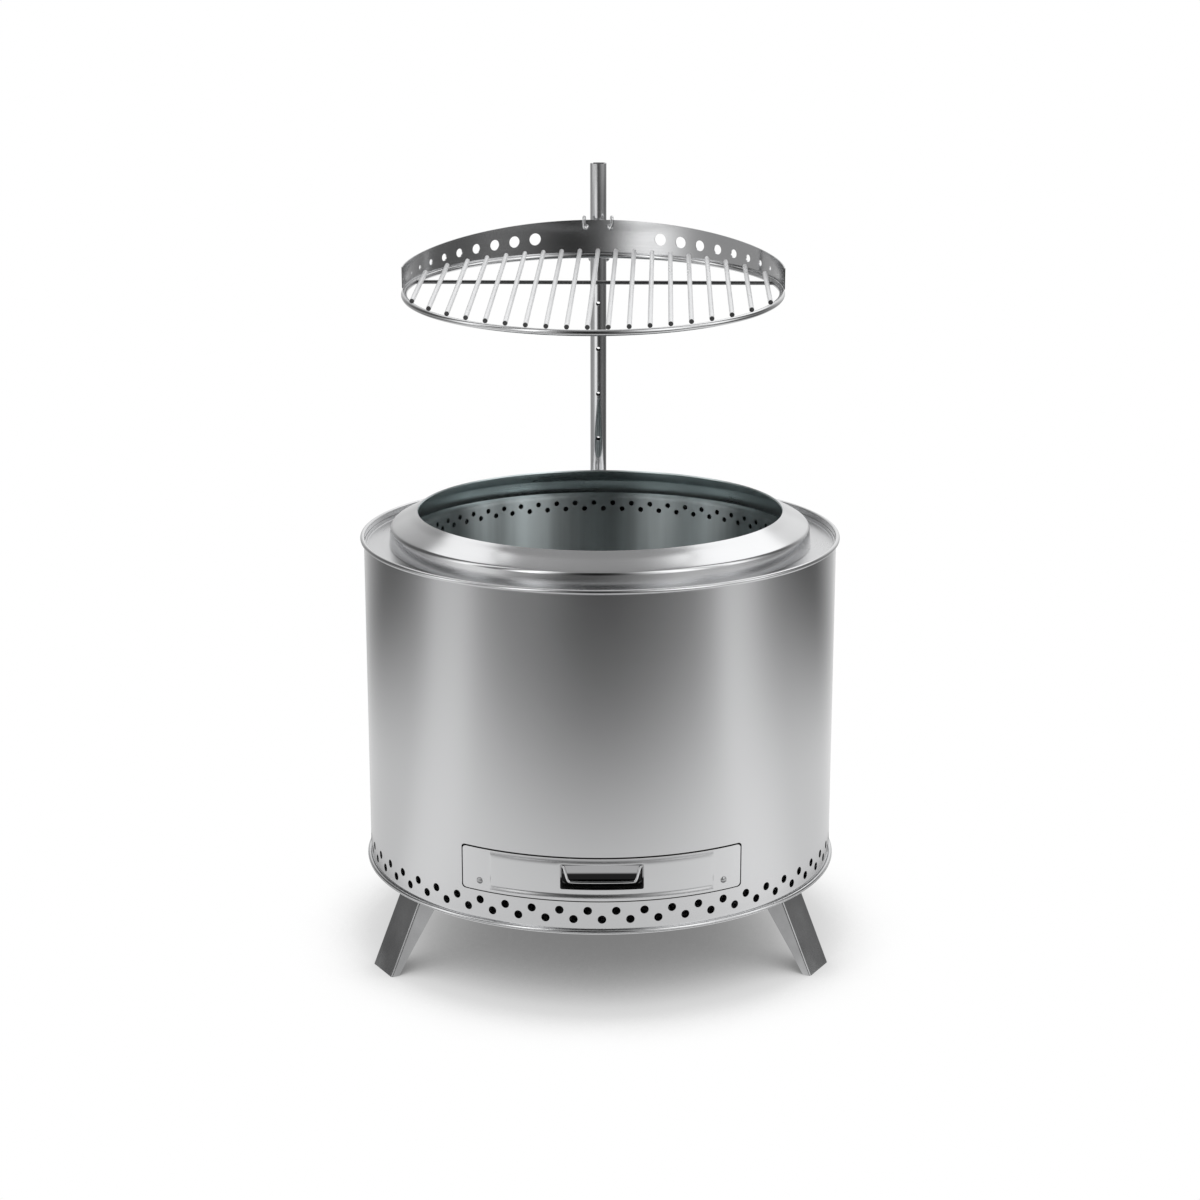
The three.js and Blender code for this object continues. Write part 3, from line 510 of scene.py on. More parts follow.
def skin(shape, rings):
    for low, high in zip(rings, rings[1:]):
        for j in range(len(low)):
            k = (j + 1) % len(low)
            shape.face([low[j], low[k], high[k], high[j]])


def sweep(points, radius, closed=False, ends=(False, False)):
    """A round wire along points. ends tells which of its two ends are domed."""
    points = [Vector(p) for p in points]
    ways = []
    for i, point in enumerate(points):
        before = points[i - 1] if closed or i else point
        after = points[(i + 1) % len(points)] if closed or i < len(points) - 1 else point
        ways.append((after - before).normalized())
    side = ways[0].orthogonal().normalized()
    frames = []
    for point, last, way in zip(points, [ways[0], *ways], ways):
        side = last.rotation_difference(way) @ side
        side = (side - way * side.dot(way)).normalized()
        frames.append((point, side, way.cross(side), radius))
    if not closed:
        frames = dome(frames[0], -ways[0], ends[0])[::-1] + frames + dome(frames[-1], ways[-1], ends[1])
    loops = [[centre + x * u + y * v for u, v in circle((0, 0), r, WIRE_SIDES)] for centre, x, y, r in frames]
    if not closed:
        return loft(loops)
    shape = Shape()
    rings = [[shape.vertex(p) for p in loop] for loop in loops]
    skin(shape, [*rings, rings[0]])
    return shape


def dome(end_frame, way, wanted):
    """Rings that round off the end of a wire, or give a cut end a narrow chamfer."""
    centre, x, y, radius = end_frame
    steps = BEND_STEPS if wanted else 1
    reach = radius if wanted else radius / 8
    rings = []
    for i in range(1, steps + 1):
        angle = i / steps * pi / 2 * (0.94 if wanted else 1)
        shrink = cos(angle) if wanted else 1 - 1 / 8
        rings.append((centre + way * reach * sin(angle), x, y, radius * shrink))
    return rings


def smooth_curve(points, steps):
    """Points on a centripetal Catmull-Rom curve through the given ones."""
    given = [Vector(p) for p in points]
    padded = [2 * given[0] - given[1], *given, 2 * given[-1] - given[-2]]
    curve = []
    for p0, p1, p2, p3 in zip(padded, padded[1:], padded[2:], padded[3:]):
        t1 = sqrt((p1 - p0).length)
        t2 = t1 + sqrt((p2 - p1).length)
        t3 = t2 + sqrt((p3 - p2).length)
        for i in range(steps):
            t = t1 + (t2 - t1) * i / steps
            share = (t - t1) / (t2 - t1)
            a1, a2, a3 = p0.lerp(p1, t / t1), p1.lerp(p2, share), p2.lerp(p3, (t - t2) / (t3 - t2))
            curve.append(a1.lerp(a2, t / t2).lerp(a2.lerp(a3, (t - t1) / (t3 - t1)), share))
    return [*curve, given[-1]]


def smooth_step(value, low, high):
    share = min(max((value - low) / (high - low), 0), 1)
    return share * share * (3 - 2 * share)


def quarter_turn():
    return [pi / 2 * i / BEND_STEPS for i in range(BEND_STEPS + 1)]


def turned(axis, angle):
    return Matrix.Rotation(angle, 4, axis)


# Materials


def join(tree, made, inputs):
    """Sets a node's sockets to constants, or links them to other nodes' outputs."""
    for key, value in inputs.items():
        if isinstance(value, bpy.types.NodeSocket):
            tree.links.new(value, made.inputs[key])
        else:
            made.inputs[key].default_value = value


def node(tree, kind, inputs=None, **values):
    made = tree.nodes.new("ShaderNode" + kind)
    for key, value in values.items():
        setattr(made, key, value)
    join(tree, made, inputs or {})
    return made


def maths(tree, operation, a, b=0.5):
    return node(tree, "Math", {0: a, 1: b}, operation=operation).outputs[0]


def distance(tree, x, y):
    squares = [maths(tree, "POWER", v, 2) for v in (x, y)]
    return maths(tree, "SQRT", maths(tree, "ADD", *squares))


def scaled(tree, vector, factor):
    return node(tree, "VectorMath", {0: vector, "Scale": factor}, operation="SCALE").outputs[0]


def between(tree, value, low, high, least=0.0):
    """A least value below one limit and 1 above the other, with a soft change."""
    stops = {"Value": value, "From Min": low, "From Max": high, "To Min": least}
    return node(tree, "MapRange", stops, interpolation_type="SMOOTHSTEP").outputs[0]


def own_place(tree):
    return node(tree, "TexCoord").outputs["Object"]


def parts_of(tree, vector):
    return node(tree, "SeparateXYZ", {0: vector}).outputs


def round_coordinates(tree):
    """(angle, height, radius) about the drum's axis."""
    x, y, z = parts_of(tree, own_place(tree))
    y = maths(tree, "SUBTRACT", y, AXIS.y)
    parts = {"X": maths(tree, "ARCTAN2", x, y), "Y": z, "Z": distance(tree, x, y)}
    return node(tree, "CombineXYZ", parts).outputs[0]


def stretched_noise(tree, vector, scales, detail, seed):
    """Noise over a vector, stretched by a scale along each axis."""
    stretch = node(tree, "VectorMath", {0: vector, 1: scales}, operation="MULTIPLY")
    inputs = {"Vector": stretch.outputs[0], "Scale": 1, "Detail": detail, "W": seed}
    return node(tree, "TexNoise", inputs, noise_dimensions="4D").outputs["Fac"]


RING_GRAIN = (3, 1800, 1800)
SCRATCH_DEPTH = 0.02 * MM


def steel(name, tone, roughness, grain=None, blotch=(9, 9, 9), anisotropy=0.0, mottle=0.05,
          rough_mottle=0.06, scratch=0.12, tint=(1.0, 1.005, 1.015), metallic=1.0):
    """Brushed or polished steel. Its lines run round the drum, unless grain says how they stretch
    along x, y and z. blotch stretches the cloudy patches."""
    material = bpy.data.materials.new(name)
    material.use_nodes = True
    tree = material.node_tree
    plain = own_place(tree)
    lines = stretched_noise(tree, plain if grain else round_coordinates(tree), grain or RING_GRAIN, 3, 1.7)
    clouds = stretched_noise(tree, plain, blotch, 4, 5.3)
    shade = node(tree, "MapRange", {
        "Value": clouds, "From Min": 0.3, "From Max": 0.7, "To Min": 1 - mottle, "To Max": 1 + mottle,
    })
    wear = maths(tree, "MULTIPLY", maths(tree, "SUBTRACT", clouds, 0.5), rough_mottle * 4)
    streak = maths(tree, "MULTIPLY", maths(tree, "SUBTRACT", lines, 0.5), rough_mottle * 2)
    bump = node(tree, "Bump", {"Strength": scratch, "Distance": SCRATCH_DEPTH, "Height": lines})
    inputs = {
        "Base Color": scaled(tree, [tone * t for t in tint], shade.outputs[0]),
        "Metallic": metallic,
        "Roughness": maths(tree, "ADD", maths(tree, "ADD", wear, streak), roughness),
        "Anisotropic": anisotropy,
        "Normal": bump.outputs["Normal"],
    }
    if anisotropy:
        normal = node(tree, "NewGeometry").outputs["Normal"]
        across = node(tree, "VectorMath", {0: (0, 0, 1), 1: normal}, operation="CROSS_PRODUCT")
        inputs |= {"Anisotropic Rotation": 0.25, "Tangent": across.outputs[0]}
    join(tree, tree.nodes["Principled BSDF"], inputs)
    return material


def paint_shade_below(material, low, high, share):
    """Paints shade into a material: fades its tone to a share of itself below a height."""
    tree = material.node_tree
    tone = tree.nodes["Principled BSDF"].inputs["Base Color"]
    fade = between(tree, parts_of(tree, own_place(tree))["Z"], low, high, share)
    tree.links.new(scaled(tree, tone.links[0].from_socket, fade), tone)


drum_steel = steel("drum_steel", 0.74, 0.18, anisotropy=0.6, mottle=0.02, rough_mottle=0.02, blotch=(4, 4, 2))
panel_steel = steel("panel_steel", 0.76, 0.20, anisotropy=0.5, mottle=0.02, rough_mottle=0.02)
deck_steel = steel("deck_steel", 0.70, 0.30, mottle=0.04)
collar_steel = steel("collar_steel", 0.74, 0.17, anisotropy=0.4, mottle=0.03, rough_mottle=0.03)
barrel_steel = steel(
    "barrel_steel", 0.66, 0.46, anisotropy=1.0, blotch=(17, 17, 0.8), mottle=0.42, rough_mottle=0.01,
    tint=(0.92, 1.01, 1.02)
)
# Painted shade: a near-black finish that stands for the shadow in the crevice where the barrel's flange meets
# the collar
crevice_shade_steel = steel("crevice_shade_steel", 0.02, 0.60, mottle=0.1, metallic=0.0)
collar_inner_steel = steel("collar_inner_steel", 0.80, 0.30, tint=(0.90, 1.0, 1.01))
coal_steel = steel("coal_steel", 0.34, 0.38, (60, 60, 60), mottle=0.2, metallic=0.6)
inner_steel = steel("inner_steel", 0.50, 0.34, (6, 900, 900), mottle=0.08)
leg_steel = steel(
    "leg_steel", 0.42, 0.12, (50, 50, 12), (26, 26, 18), mottle=0.18, rough_mottle=0.04, scratch=0.0
)
post_steel = steel("post_steel", 0.74, 0.12, (900, 900, 6), mottle=0.03, scratch=0.03)
carrier_steel = steel("carrier_steel", 0.66, 0.26, (8, 900, 900), mottle=0.06)
band_steel = steel("band_steel", 0.74, 0.14, (6, 6, 900), mottle=0.03, scratch=0.03)
brace_steel = steel("brace_steel", 0.36, 0.22, (6, 700, 700))
bright_steel = steel("bright_steel", 0.85, 0.12, (300, 20, 300), mottle=0.03)
rod_steel = steel("rod_steel", 0.90, 0.30, (260, 60, 260), rough_mottle=0.04, metallic=0.2)
cut_steel = steel("cut_steel", 0.22, 0.40, (600, 600, 600), mottle=0.1)
ring_steel = steel("ring_steel", 0.74, 0.14, (200, 200, 200), mottle=0.04)
rivet_steel = steel("rivet_steel", 0.50, 0.12, (300, 300, 300), mottle=0.03)
dish_steel = steel("dish_steel", 0.52, 0.08, (200, 200, 200), mottle=0.02)
# Painted shade: a near-black finish for the walls of the recessed dish, where shade falls
dish_black = steel("dish_black", 0.012, 0.16, (200, 200, 200), mottle=0.10, rough_mottle=0.03, metallic=0.0)
knob_steel = steel("knob_steel", 0.52, 0.22, (900, 40, 900))
screw_steel = steel("screw_steel", 0.50, 0.22, (300, 300, 300))


# Drum


def hole_rows(count, radius, wall_radius, low, heights):
    """Loops of staggered round holes on a wall, as (angle, distance above low)."""
    step = TAU / count
    return [
        [(u / wall_radius, v) for u, v in circle((step * (i + row / 2) * wall_radius, height - low), radius)]
        for row, height in enumerate(heights)
        for i in range(count)
    ]


def drum_shell():
    inside = BEAD_RADIUS - DRUM_SHEET
    centre = DRUM_RADIUS + inside
    tip = degrees(BEAD_TIP)
    foot = arc((centre, FOOT_Z + BEAD_RADIUS), inside, tip, -180, 3 * BEND_STEPS)
    rim = arc((centre, RIM_Z - BEAD_RADIUS), inside, 180, -tip, 3 * BEND_STEPS)
    vent_low = FOOT_Z + VENT_RISES[0] - VENT_RADIUS - VENT_MARGIN
    vent_high = FOOT_Z + VENT_RISES[1] + VENT_RADIUS + VENT_MARGIN
    opening_margin = (OPENING_LOW - vent_high) / 2
    levels = [vent_low, vent_high, OPENING_LOW - opening_margin, OPENING_HIGH + opening_margin]
    path = [*foot, *[(DRUM_RADIUS, z) for z in levels], *rim]
    vents = hole_rows(VENT_COUNT, VENT_RADIUS, DRUM_RADIUS, vent_low, [FOOT_Z + rise for rise in VENT_RISES])
    opening = rounded_rectangle(
        -OPENING_HALF, OPENING_HALF, OPENING_LOW - levels[2], OPENING_HIGH - levels[2], OPENING_CORNER
    )
    opening = [(asin(x / DRUM_RADIUS), v) for x, v in opening]
    first = len(foot)
    return turned_sheet(
        path, DRUM_SHEET, {first: vents, first + 2: [opening]}, start=pi + TAU / VENT_COUNT / 4
    )


def build_drum():
    make("drum_shell", drum_shell().moved(AT_AXIS), drum_steel, "base", "outer_drum")

    post_place = POST_AXIS - AXIS
    socket_hole = circle((post_place.x, post_place.y), POST_RADIUS + 2.3 * MM)
    flat_start = BARREL_RADIUS + 0.5 * MM
    deck_path = bent(
        [(flat_start, DECK_LOW), (DECK_RADIUS, DECK_LOW), (DECK_RADIUS, DECK_LOW + DECK_UPSTAND)], SHEET_BEND
    )
    flat_end = DECK_RADIUS - SHEET_BEND - 0.2 * MM
    socket_loop = [(atan2(x, -y) % TAU, min(hypot(x, y), flat_end) - flat_start) for x, y in socket_hole]
    deck = turned_sheet(deck_path, DECK_SHEET, {0: [socket_loop]})
    make("deck_ring", deck.moved(AT_AXIS), deck_steel, "base", "top_deck")

    pan = level_plate(circle((0, 0), PAN_RADIUS, COLUMNS), [], PAN_LOW, PAN_HIGH)
    make("pan_disc", pan.moved(AT_AXIS), inner_steel, "base", "base_pan")


def barrel_shell():
    wall = BARREL_RADIUS
    ledge_inner = wall - BARREL_SHEET - BARREL_LEDGE
    ledge_low = COAL_LOW - SEAT_GAP - BARREL_SHEET
    rim_low = FLANGE_Z - BARREL_SHEET
    edge = FLANGE_RADIUS - BARREL_SHEET
    holes_low = DECK_TOP - AIR_HOLE_DROPS[0] - AIR_HOLE_RADIUS - VENT_MARGIN
    holes_high = DECK_TOP - AIR_HOLE_DROPS[1] + AIR_HOLE_RADIUS + VENT_MARGIN
    lower = bent([
        (FUNNEL_RADIUS, SPOUT_Z),
        (FUNNEL_RADIUS, SPOUT_Z + FUNNEL_SPOUT),
        (ledge_inner, ledge_low),
        (wall, ledge_low),
        (wall, holes_low),
    ], SHEET_BEND)
    foot = DECK_TOP + SEAT_GAP
    upper = bent([(wall, holes_high), (wall, rim_low), (edge, rim_low), (edge, foot)], SHEET_BEND)
    loops = hole_rows(
        AIR_HOLE_COUNT, AIR_HOLE_RADIUS, wall, holes_low, [DECK_TOP - drop for drop in AIR_HOLE_DROPS]
    )
    row = len(lower) - 1
    return turned_sheet([*lower, *upper], BARREL_SHEET, {row: loops}, start=TAU / AIR_HOLE_COUNT / 4)


def collar_ring():
    foot = DECK_TOP + SEAT_GAP
    skirt_top = foot + COLLAR_SKIRT + COLLAR_SHOULDER
    straight = bent([
        (COLLAR_RADIUS, foot),
        (COLLAR_RADIUS - COLLAR_FLARE, skirt_top),
        (COLLAR_LIP_RADIUS, COLLAR_LIP_Z),
    ], COLLAR_SHOULDER)
    shoulder, lip = Vector(straight[-2]), Vector(straight[-1])
    hollow = []
    for i in range(1, 12):
        place = shoulder.lerp(lip, i / 12)
        place.y -= COLLAR_SAG * smooth_step(i / 12, 0, 0.9) * smooth_step(1 - i / 12, 0, 0.4)
        hollow.append(tuple(place))
    return turned_sheet([*straight[:-1], *hollow, straight[-1]], COLLAR_SHEET)


def coal_plate():
    centres = [(0, 0)]
    for ring in range(1, COAL_RINGS + 1):
        centres += circle((0, 0), ring * COAL_PITCH, 6 * ring)
    holes = [circle(centre, COAL_HOLE_RADIUS) for centre in centres]
    return level_plate(circle((0, 0), COAL_RADIUS, COLUMNS), holes, COAL_LOW, COAL_HIGH)


def build_fire_side():
    barrel = barrel_shell().moved(AT_AXIS @ turned("Z", AIR_HOLE_TURN))
    barrel = make("barrel_shell", barrel, barrel_steel, "base", "fire_barrel")
    # The barrel's flange rim gets the near-black painted shade of the crevice under the collar
    barrel.data.materials.append(crevice_shade_steel)
    for face in barrel.data.polygons:
        reach = (face.center - AXIS).to_2d().length
        face.material_index = int(reach > FLANGE_RADIUS - CREVICE_SHADE_REACH and face.center.z > DECK_TOP)
    collar = collar_ring().moved(AT_AXIS)
    collar = make("collar_ring", collar, collar_steel, "collar", "flame_collar")
    collar.data.materials.append(collar_inner_steel)
    for face in collar.data.polygons:
        face.material_index = int(face.normal.to_2d().dot((face.center - AXIS).to_2d()) < 0)
    coal = coal_plate().moved(AT_AXIS)
    make("coal_plate", coal, coal_steel, "coal_grate", "fire_grate")


# Drawer


def emboss_raise(x, z):
    """How far the drawer's face is raised at a place."""
    across = smooth_step(EMBOSS_HALF - abs(x), 0, EMBOSS_SIDE_BEVEL)
    up = smooth_step(z - EMBOSS_LOW, 0, EMBOSS_LOWER_BEVEL)
    down = smooth_step(EMBOSS_HIGH - z, 0, EMBOSS_UPPER_BEVEL)
    lip = 1 - smooth_step(z - EMBOSS_LOW, EMBOSS_LOWER_BEVEL / 2, EMBOSS_LIP)
    return across * up * down * (EMBOSS_RAISE + EMBOSS_LIP_RAISE * lip)


def panel_surface(x, z):
    """The drawer's face over a place (x, z): the point, and its normal from small steps."""
    def point(x, z):
        radius = DRUM_RADIUS + emboss_raise(x, z)
        return Vector((x, -sqrt(radius**2 - x**2), z))

    reach = 0.05 * MM
    across = point(x + reach, z) - point(x - reach, z)
    up = point(x, z + reach) - point(x, z - reach)
    return point(x, z), across.cross(up).normalized()


def spaced(low, high, pitch):
    count = max(1, round((high - low) / pitch))
    return [low + (high - low) * i / count for i in range(count + 1)]


def drawer_panel(pocket):
    half = OPENING_HALF - PANEL_GAP
    low, high = OPENING_LOW + PANEL_GAP, OPENING_HIGH - PANEL_TOP_GAP
    outline = rounded_rectangle(-half, half, low, high, OPENING_CORNER)
    wide, fine = 5 * MM, 0.28 * MM
    side = EMBOSS_HALF - EMBOSS_SIDE_BEVEL
    columns = [
        *spaced(-half, -EMBOSS_HALF, wide), *spaced(-EMBOSS_HALF, -side, fine), *spaced(-side, side, wide),
        *spaced(side, EMBOSS_HALF, fine), *spaced(EMBOSS_HALF, half, wide),
    ]
    levels = [
        *spaced(EMBOSS_LOW, EMBOSS_LOW + EMBOSS_LIP, fine),
        *spaced(EMBOSS_LOW + EMBOSS_LIP, EMBOSS_HIGH - EMBOSS_UPPER_BEVEL, wide),
        *spaced(EMBOSS_HIGH - EMBOSS_UPPER_BEVEL, EMBOSS_HIGH, fine),
    ]
    lines = [((x, low - wide), (x, high + wide)) for x in sorted(set(columns))]
    lines += [((-half - wide, z), (half + wide, z)) for z in sorted(set(levels))]
    return plate(outline, [pocket], lines, panel_surface, DRUM_SHEET)


def pocket_shape(low, high):
    """The recessed dish: outside and inside skins from the panel's face to the back."""
    half = (high.x - low.x) / 2

    def ring(inset, y, corner=POCKET_CORNER):
        """A loop in a plane at y, or where y is None on the drawer's face."""
        loop = rounded_rectangle(inset - half, half - inset, low.z + inset, high.z - inset, corner)
        if y is None:
            return [(x, panel_surface(x, z)[0].y + AXIS.y + SEAT_GAP, z) for x, z in loop]
        return [(x, y, z) for x, z in loop]

    wall, soft = POCKET_SHEET, POCKET_FILLET
    fillet = [
        ring(wall + soft * (1 - cos(a)), high.y - wall - soft + soft * sin(a), POCKET_CORNER + soft)
        for a in quarter_turn()
    ]
    shape = loft([ring(0, high.y), ring(0, None), ring(wall, None), *fillet])
    shape.faces[-1].reverse()
    shape.faces = [face[::-1] for face in shape.faces]
    return shape


def build_drawer():
    dish_low, dish_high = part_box("handle_dish")
    (left, _, low), (right, _, high) = dish_low, dish_high
    pocket = rounded_rectangle(
        left - SEAT_GAP, right + SEAT_GAP, low - SEAT_GAP, high + SEAT_GAP, POCKET_CORNER
    )
    panel = drawer_panel(pocket).moved(AT_AXIS)
    make("drawer_panel", panel, panel_steel, "drawer", "drawer_front")
    dish = make("dish", pocket_shape(dish_low, dish_high), dish_steel, "drawer", "handle_dish")
    # The dish's walls take the near-black painted shade, and its back keeps the steel
    dish.data.materials.append(dish_black)
    for face in dish.data.polygons:
        face.material_index = int(abs(face.normal.y) < 0.9)
    # Painted shade: the dish's tone falls to near black towards its bottom
    paint_shade_below(dish_steel, *[dish_low.z + rise for rise in DISH_SHADE_RISES], DISH_SHADE_SHARE)

    bail_low, bail_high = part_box("handle_bail")
    pivot_z = dish_high.z - BAIL_PIVOT_DROP
    drop = pivot_z - bail_low.z - BAIL_RADIUS
    y = (bail_low.y + bail_high.y) / 2
    side = [(bail_high.x - a * BAIL_INSET, y, pivot_z - b * drop) for a, b in BAIL_SHARES]
    route = [(-x, y, z) for x, y, z in side] + side[::-1]
    bail = sweep(smooth_curve(route, 8), BAIL_RADIUS)
    bail = make("bail_wire", bail, bright_steel, "bail", "handle_bail")
    bail.visible_glossy = False

    dome_part = [(RIVET_RADIUS * cos(a), RIVET_HEIGHT * sin(a)) for a in quarter_turn()[:-1]]
    for name, side in SIDES.items():
        at = on_cylinder(DRUM_RADIUS, 0, OPENING_LOW + RIVET_RISE)[0]
        place = AT_AXIS @ turned("Z", side * RIVET_ANGLE) @ Matrix.Translation(at) @ turned("X", pi / 2)
        rivet = lathe([(0, -0.2 * MM), *dome_part, (0, RIVET_HEIGHT)]).moved(place)
        make(f"rivet_{name}", rivet, rivet_steel, "drawer", f"drawer_rivet_{name}")


# Legs


def channel(outer, depth, z):
    """A folded channel's section across a leg: x across it, y outward."""
    half, bend, sheet = LEG_WIDTH / 2, LEG_BEND, LEG_SHEET
    outside = [
        (-half, outer - depth),
        *arc((-half + bend, outer - bend), bend, 180, 90),
        *arc((half - bend, outer - bend), bend, 90, 0),
        (half, outer - depth),
    ]
    inside = [
        (half - sheet, outer - depth),
        *arc((half - bend, outer - bend), bend - sheet, 0, 90),
        *arc((-half + bend, outer - bend), bend - sheet, 90, 180),
        (-half + sheet, outer - depth),
    ]
    return [(x, y, z) for x, y in reversed([*outside, *inside])]


def leg_shape():
    top_radius = LEG_FOOT_RADIUS - tan(LEG_SPLAY) * LEG_TOP
    depths = [(0, LEG_FLANGE_FOOT), (0.24 * LEG_TOP, LEG_FLANGE_FOOT + 5 * MM), (LEG_TOP, LEG_FLANGE_TOP)]
    shape = loft([channel(LEG_FOOT_RADIUS - tan(LEG_SPLAY) * z, depth, z) for z, depth in depths])
    half = (LEG_WIDTH - LEG_SHEET) / 2
    tab_start = top_radius - LEG_FLANGE_TOP - LEG_TAB
    tab = rounded_rectangle(-half, half, tab_start, top_radius - LEG_SHEET, 5 * MM)
    shape.add(slab(tab, LEG_TOP - LEG_SHEET, LEG_TOP))
    foot = rounded_rectangle(
        -half, half, LEG_FOOT_RADIUS - LEG_FLANGE_FOOT - 1 * MM, LEG_FOOT_RADIUS - 1 * MM, 2 * MM
    )
    shape.add(slab(foot, 0, LEG_SHEET))
    return shape


def slab(outline, low, high):
    return loft([[(x, y, low) for x, y in outline], [(x, y, high) for x, y in outline]])


def screw_shape(shank_length):
    """A button-head screw whose head stands on z = 0, with a hexagonal socket."""
    steps = 24
    head, shank, height, socket, deep = 4.6 * MM, 2.5 * MM, 2.8 * MM, 1.6 * MM, 1.4 * MM

    def ring(radius, z):
        return [(x, y, z) for x, y in circle((0, 0), radius, steps)]

    def hexagon(radius, z):
        side = TAU / 6
        shrink = [cos(side / 2) / cos((TAU * i / steps + side / 2) % side - side / 2) for i in range(steps)]
        return [(x * share, y * share, z) for (x, y, z), share in zip(ring(radius, z), shrink)]

    domed = [ring(head * (0.55 + 0.45 * cos(a)), height * sin(a)) for a in quarter_turn()]
    return loft([
        ring(shank, -shank_length), ring(shank, 0), *domed,
        hexagon(socket * 1.15, height), hexagon(socket, height - deep),
    ])


def make_screw(node_name, upright):
    """A screw in place of the model's, with its head above or below its seat."""
    low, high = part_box(node_name)
    seat = (low + high) / 2
    seat.z = high.z - SCREW_HEAD if upright else low.z + SCREW_HEAD
    place = Matrix.Translation(seat) @ turned("X", 0 if upright else pi)
    screw = screw_shape(high.z - low.z - SCREW_HEAD).moved(place)
    make(f"{node_name}_head", screw, screw_steel, "base", node_name)


def build_legs():
    for name, angle in LEG_ANGLES.items():
        leg = leg_shape().moved(AT_AXIS @ turned("Z", angle + pi))
        make(f"{name}_leg", leg, leg_steel, "base", f"leg_{name}")
        for number in (1, 2):
            make_screw(f"leg_screw_{name}_{number}", upright=False)


# Post, socket, carrier and lock


def on_post():
    return Matrix.Translation(POST_AXIS) @ turned("Z", SWING)


def post_tube():
    chamfer = 0.3 * MM
    reach = POST_HOLE_RADIUS + 2 * MM
    levels, rows = [POST_LOW], {}
    for i in reversed(range(POST_HOLE_COUNT)):
        z = LOCK_Z - i * POST_HOLE_PITCH
        rows[len(levels)] = [
            [(facing + asin(x / POST_RADIUS), v) for x, v in circle((0, reach), POST_HOLE_RADIUS)]
            for facing in (0, pi)
        ]
        levels += [z - reach, z + reach]
    path = [(POST_RADIUS, z) for z in [*levels, POST_TOP - chamfer]] + [(POST_RADIUS - chamfer, POST_TOP)]
    return turned_sheet(path, POST_WALL, rows, start=pi / 2, columns=FINE_COLUMNS)


def socket_shape():
    low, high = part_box("post_socket")
    inner = POST_RADIUS + SLEEVE_GAP
    outer = inner + 1.5 * MM
    plate_low = DECK_TOP + SEAT_GAP
    half, end = (high.x - low.x) / 2, 11 * MM
    stadium = [
        *arc((half - end, 0), end, -90, 90, 2 * BEND_STEPS),
        *arc((end - half, 0), end, 90, 270, 2 * BEND_STEPS),
    ]
    flange = level_plate(stadium, [circle((0, 0), inner)], plate_low, high.z)
    tube = turned_sheet([(outer, low.z), (outer, plate_low)], outer - inner, columns=FINE_COLUMNS)
    return flange.add(tube).moved(Matrix.Translation(POST_AXIS))


def upright_slab(half, low, high, corner, back, front):
    """A plate of rounded outline between two planes across Y, the front one last."""
    outline = rounded_rectangle(-half, half, low, high, corner)
    return loft([[(x, y, z) for x, z in outline] for y in (back, front)])


def carrier_shape():
    """Sleeve, back plate, tongue and lock boss, about the post's axis."""
    sleeve_high = SLEEVE_LOW + 31 * MM
    inner, outer = POST_RADIUS + SLEEVE_GAP, POST_RADIUS + 2.5 * MM
    sleeve = turned_sheet([(outer, SLEEVE_LOW), (outer, sleeve_high)], outer - inner, columns=FINE_COLUMNS)
    back = CARRIER_SHEET - CARRIER_FRONT
    sleeve.add(upright_slab(24 * MM, SLEEVE_LOW, sleeve_high, 4 * MM, back, -CARRIER_FRONT))
    sleeve.add(upright_slab(8 * MM, LOCK_Z - 8 * MM, sleeve_high, 3 * MM, TONGUE_OUTER, TONGUE_INNER))
    boss = turned_sheet([(7 * MM, TONGUE_OUTER), (7 * MM, BOSS_END)], 4.1 * MM, columns=FINE_COLUMNS)
    return sleeve.add(boss.moved(along_lock()))


def along_lock():
    """From a shape that stands on +Z to one that points back from the post at the lock's height."""
    return Matrix.Translation((0, 0, LOCK_Z)) @ turned("X", -pi / 2)


def knob_shape():
    tip = POST_RADIUS + SEAT_GAP
    face = BOSS_END + SEAT_GAP
    rear = face + 13 * MM
    reach, pin, edge = 16 * MM, 2.5 * MM, 3 * MM
    profile = [
        (0, tip), (pin, tip), (pin, face), (7 * MM, face), (reach - edge, face + 1.5 * MM),
        *arc((reach - edge, face + 1.5 * MM + edge), edge, -90, 0),
        *arc((reach - edge, rear - edge), edge, 0, 90),
        (5 * MM, rear), (4 * MM, rear - 0.8 * MM), (0, rear - 0.8 * MM),
    ]
    return lathe(profile, lobes=6, lobe_depth=3 * MM).moved(along_lock())


def build_post():
    make("post_tube", post_tube().moved(on_post()), post_steel, "mast", "post")
    make("socket_flange", socket_shape(), deck_steel, "base", "post_socket")
    for side in SIDES:
        make_screw(f"socket_screw_{side}", upright=True)
    carrier = carrier_shape().moved(on_post())
    make("carrier_sleeve", carrier, carrier_steel, "cooking_grate", "grate_carrier")
    make("lobed_knob", knob_shape().moved(on_post()), knob_steel, "lock", "lock_knob")


# Cooking grate


def grate_place():
    """The grate's own frame: its ring lies in z = 0, and droops to the front."""
    low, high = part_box("grate_ring")
    return Matrix.Translation((low + high) / 2) @ turned("Z", SWING) @ turned("X", DROOP)


def band_height(angle):
    return BAND_END + (BAND_BACK - BAND_END) * cos(angle) ** 2


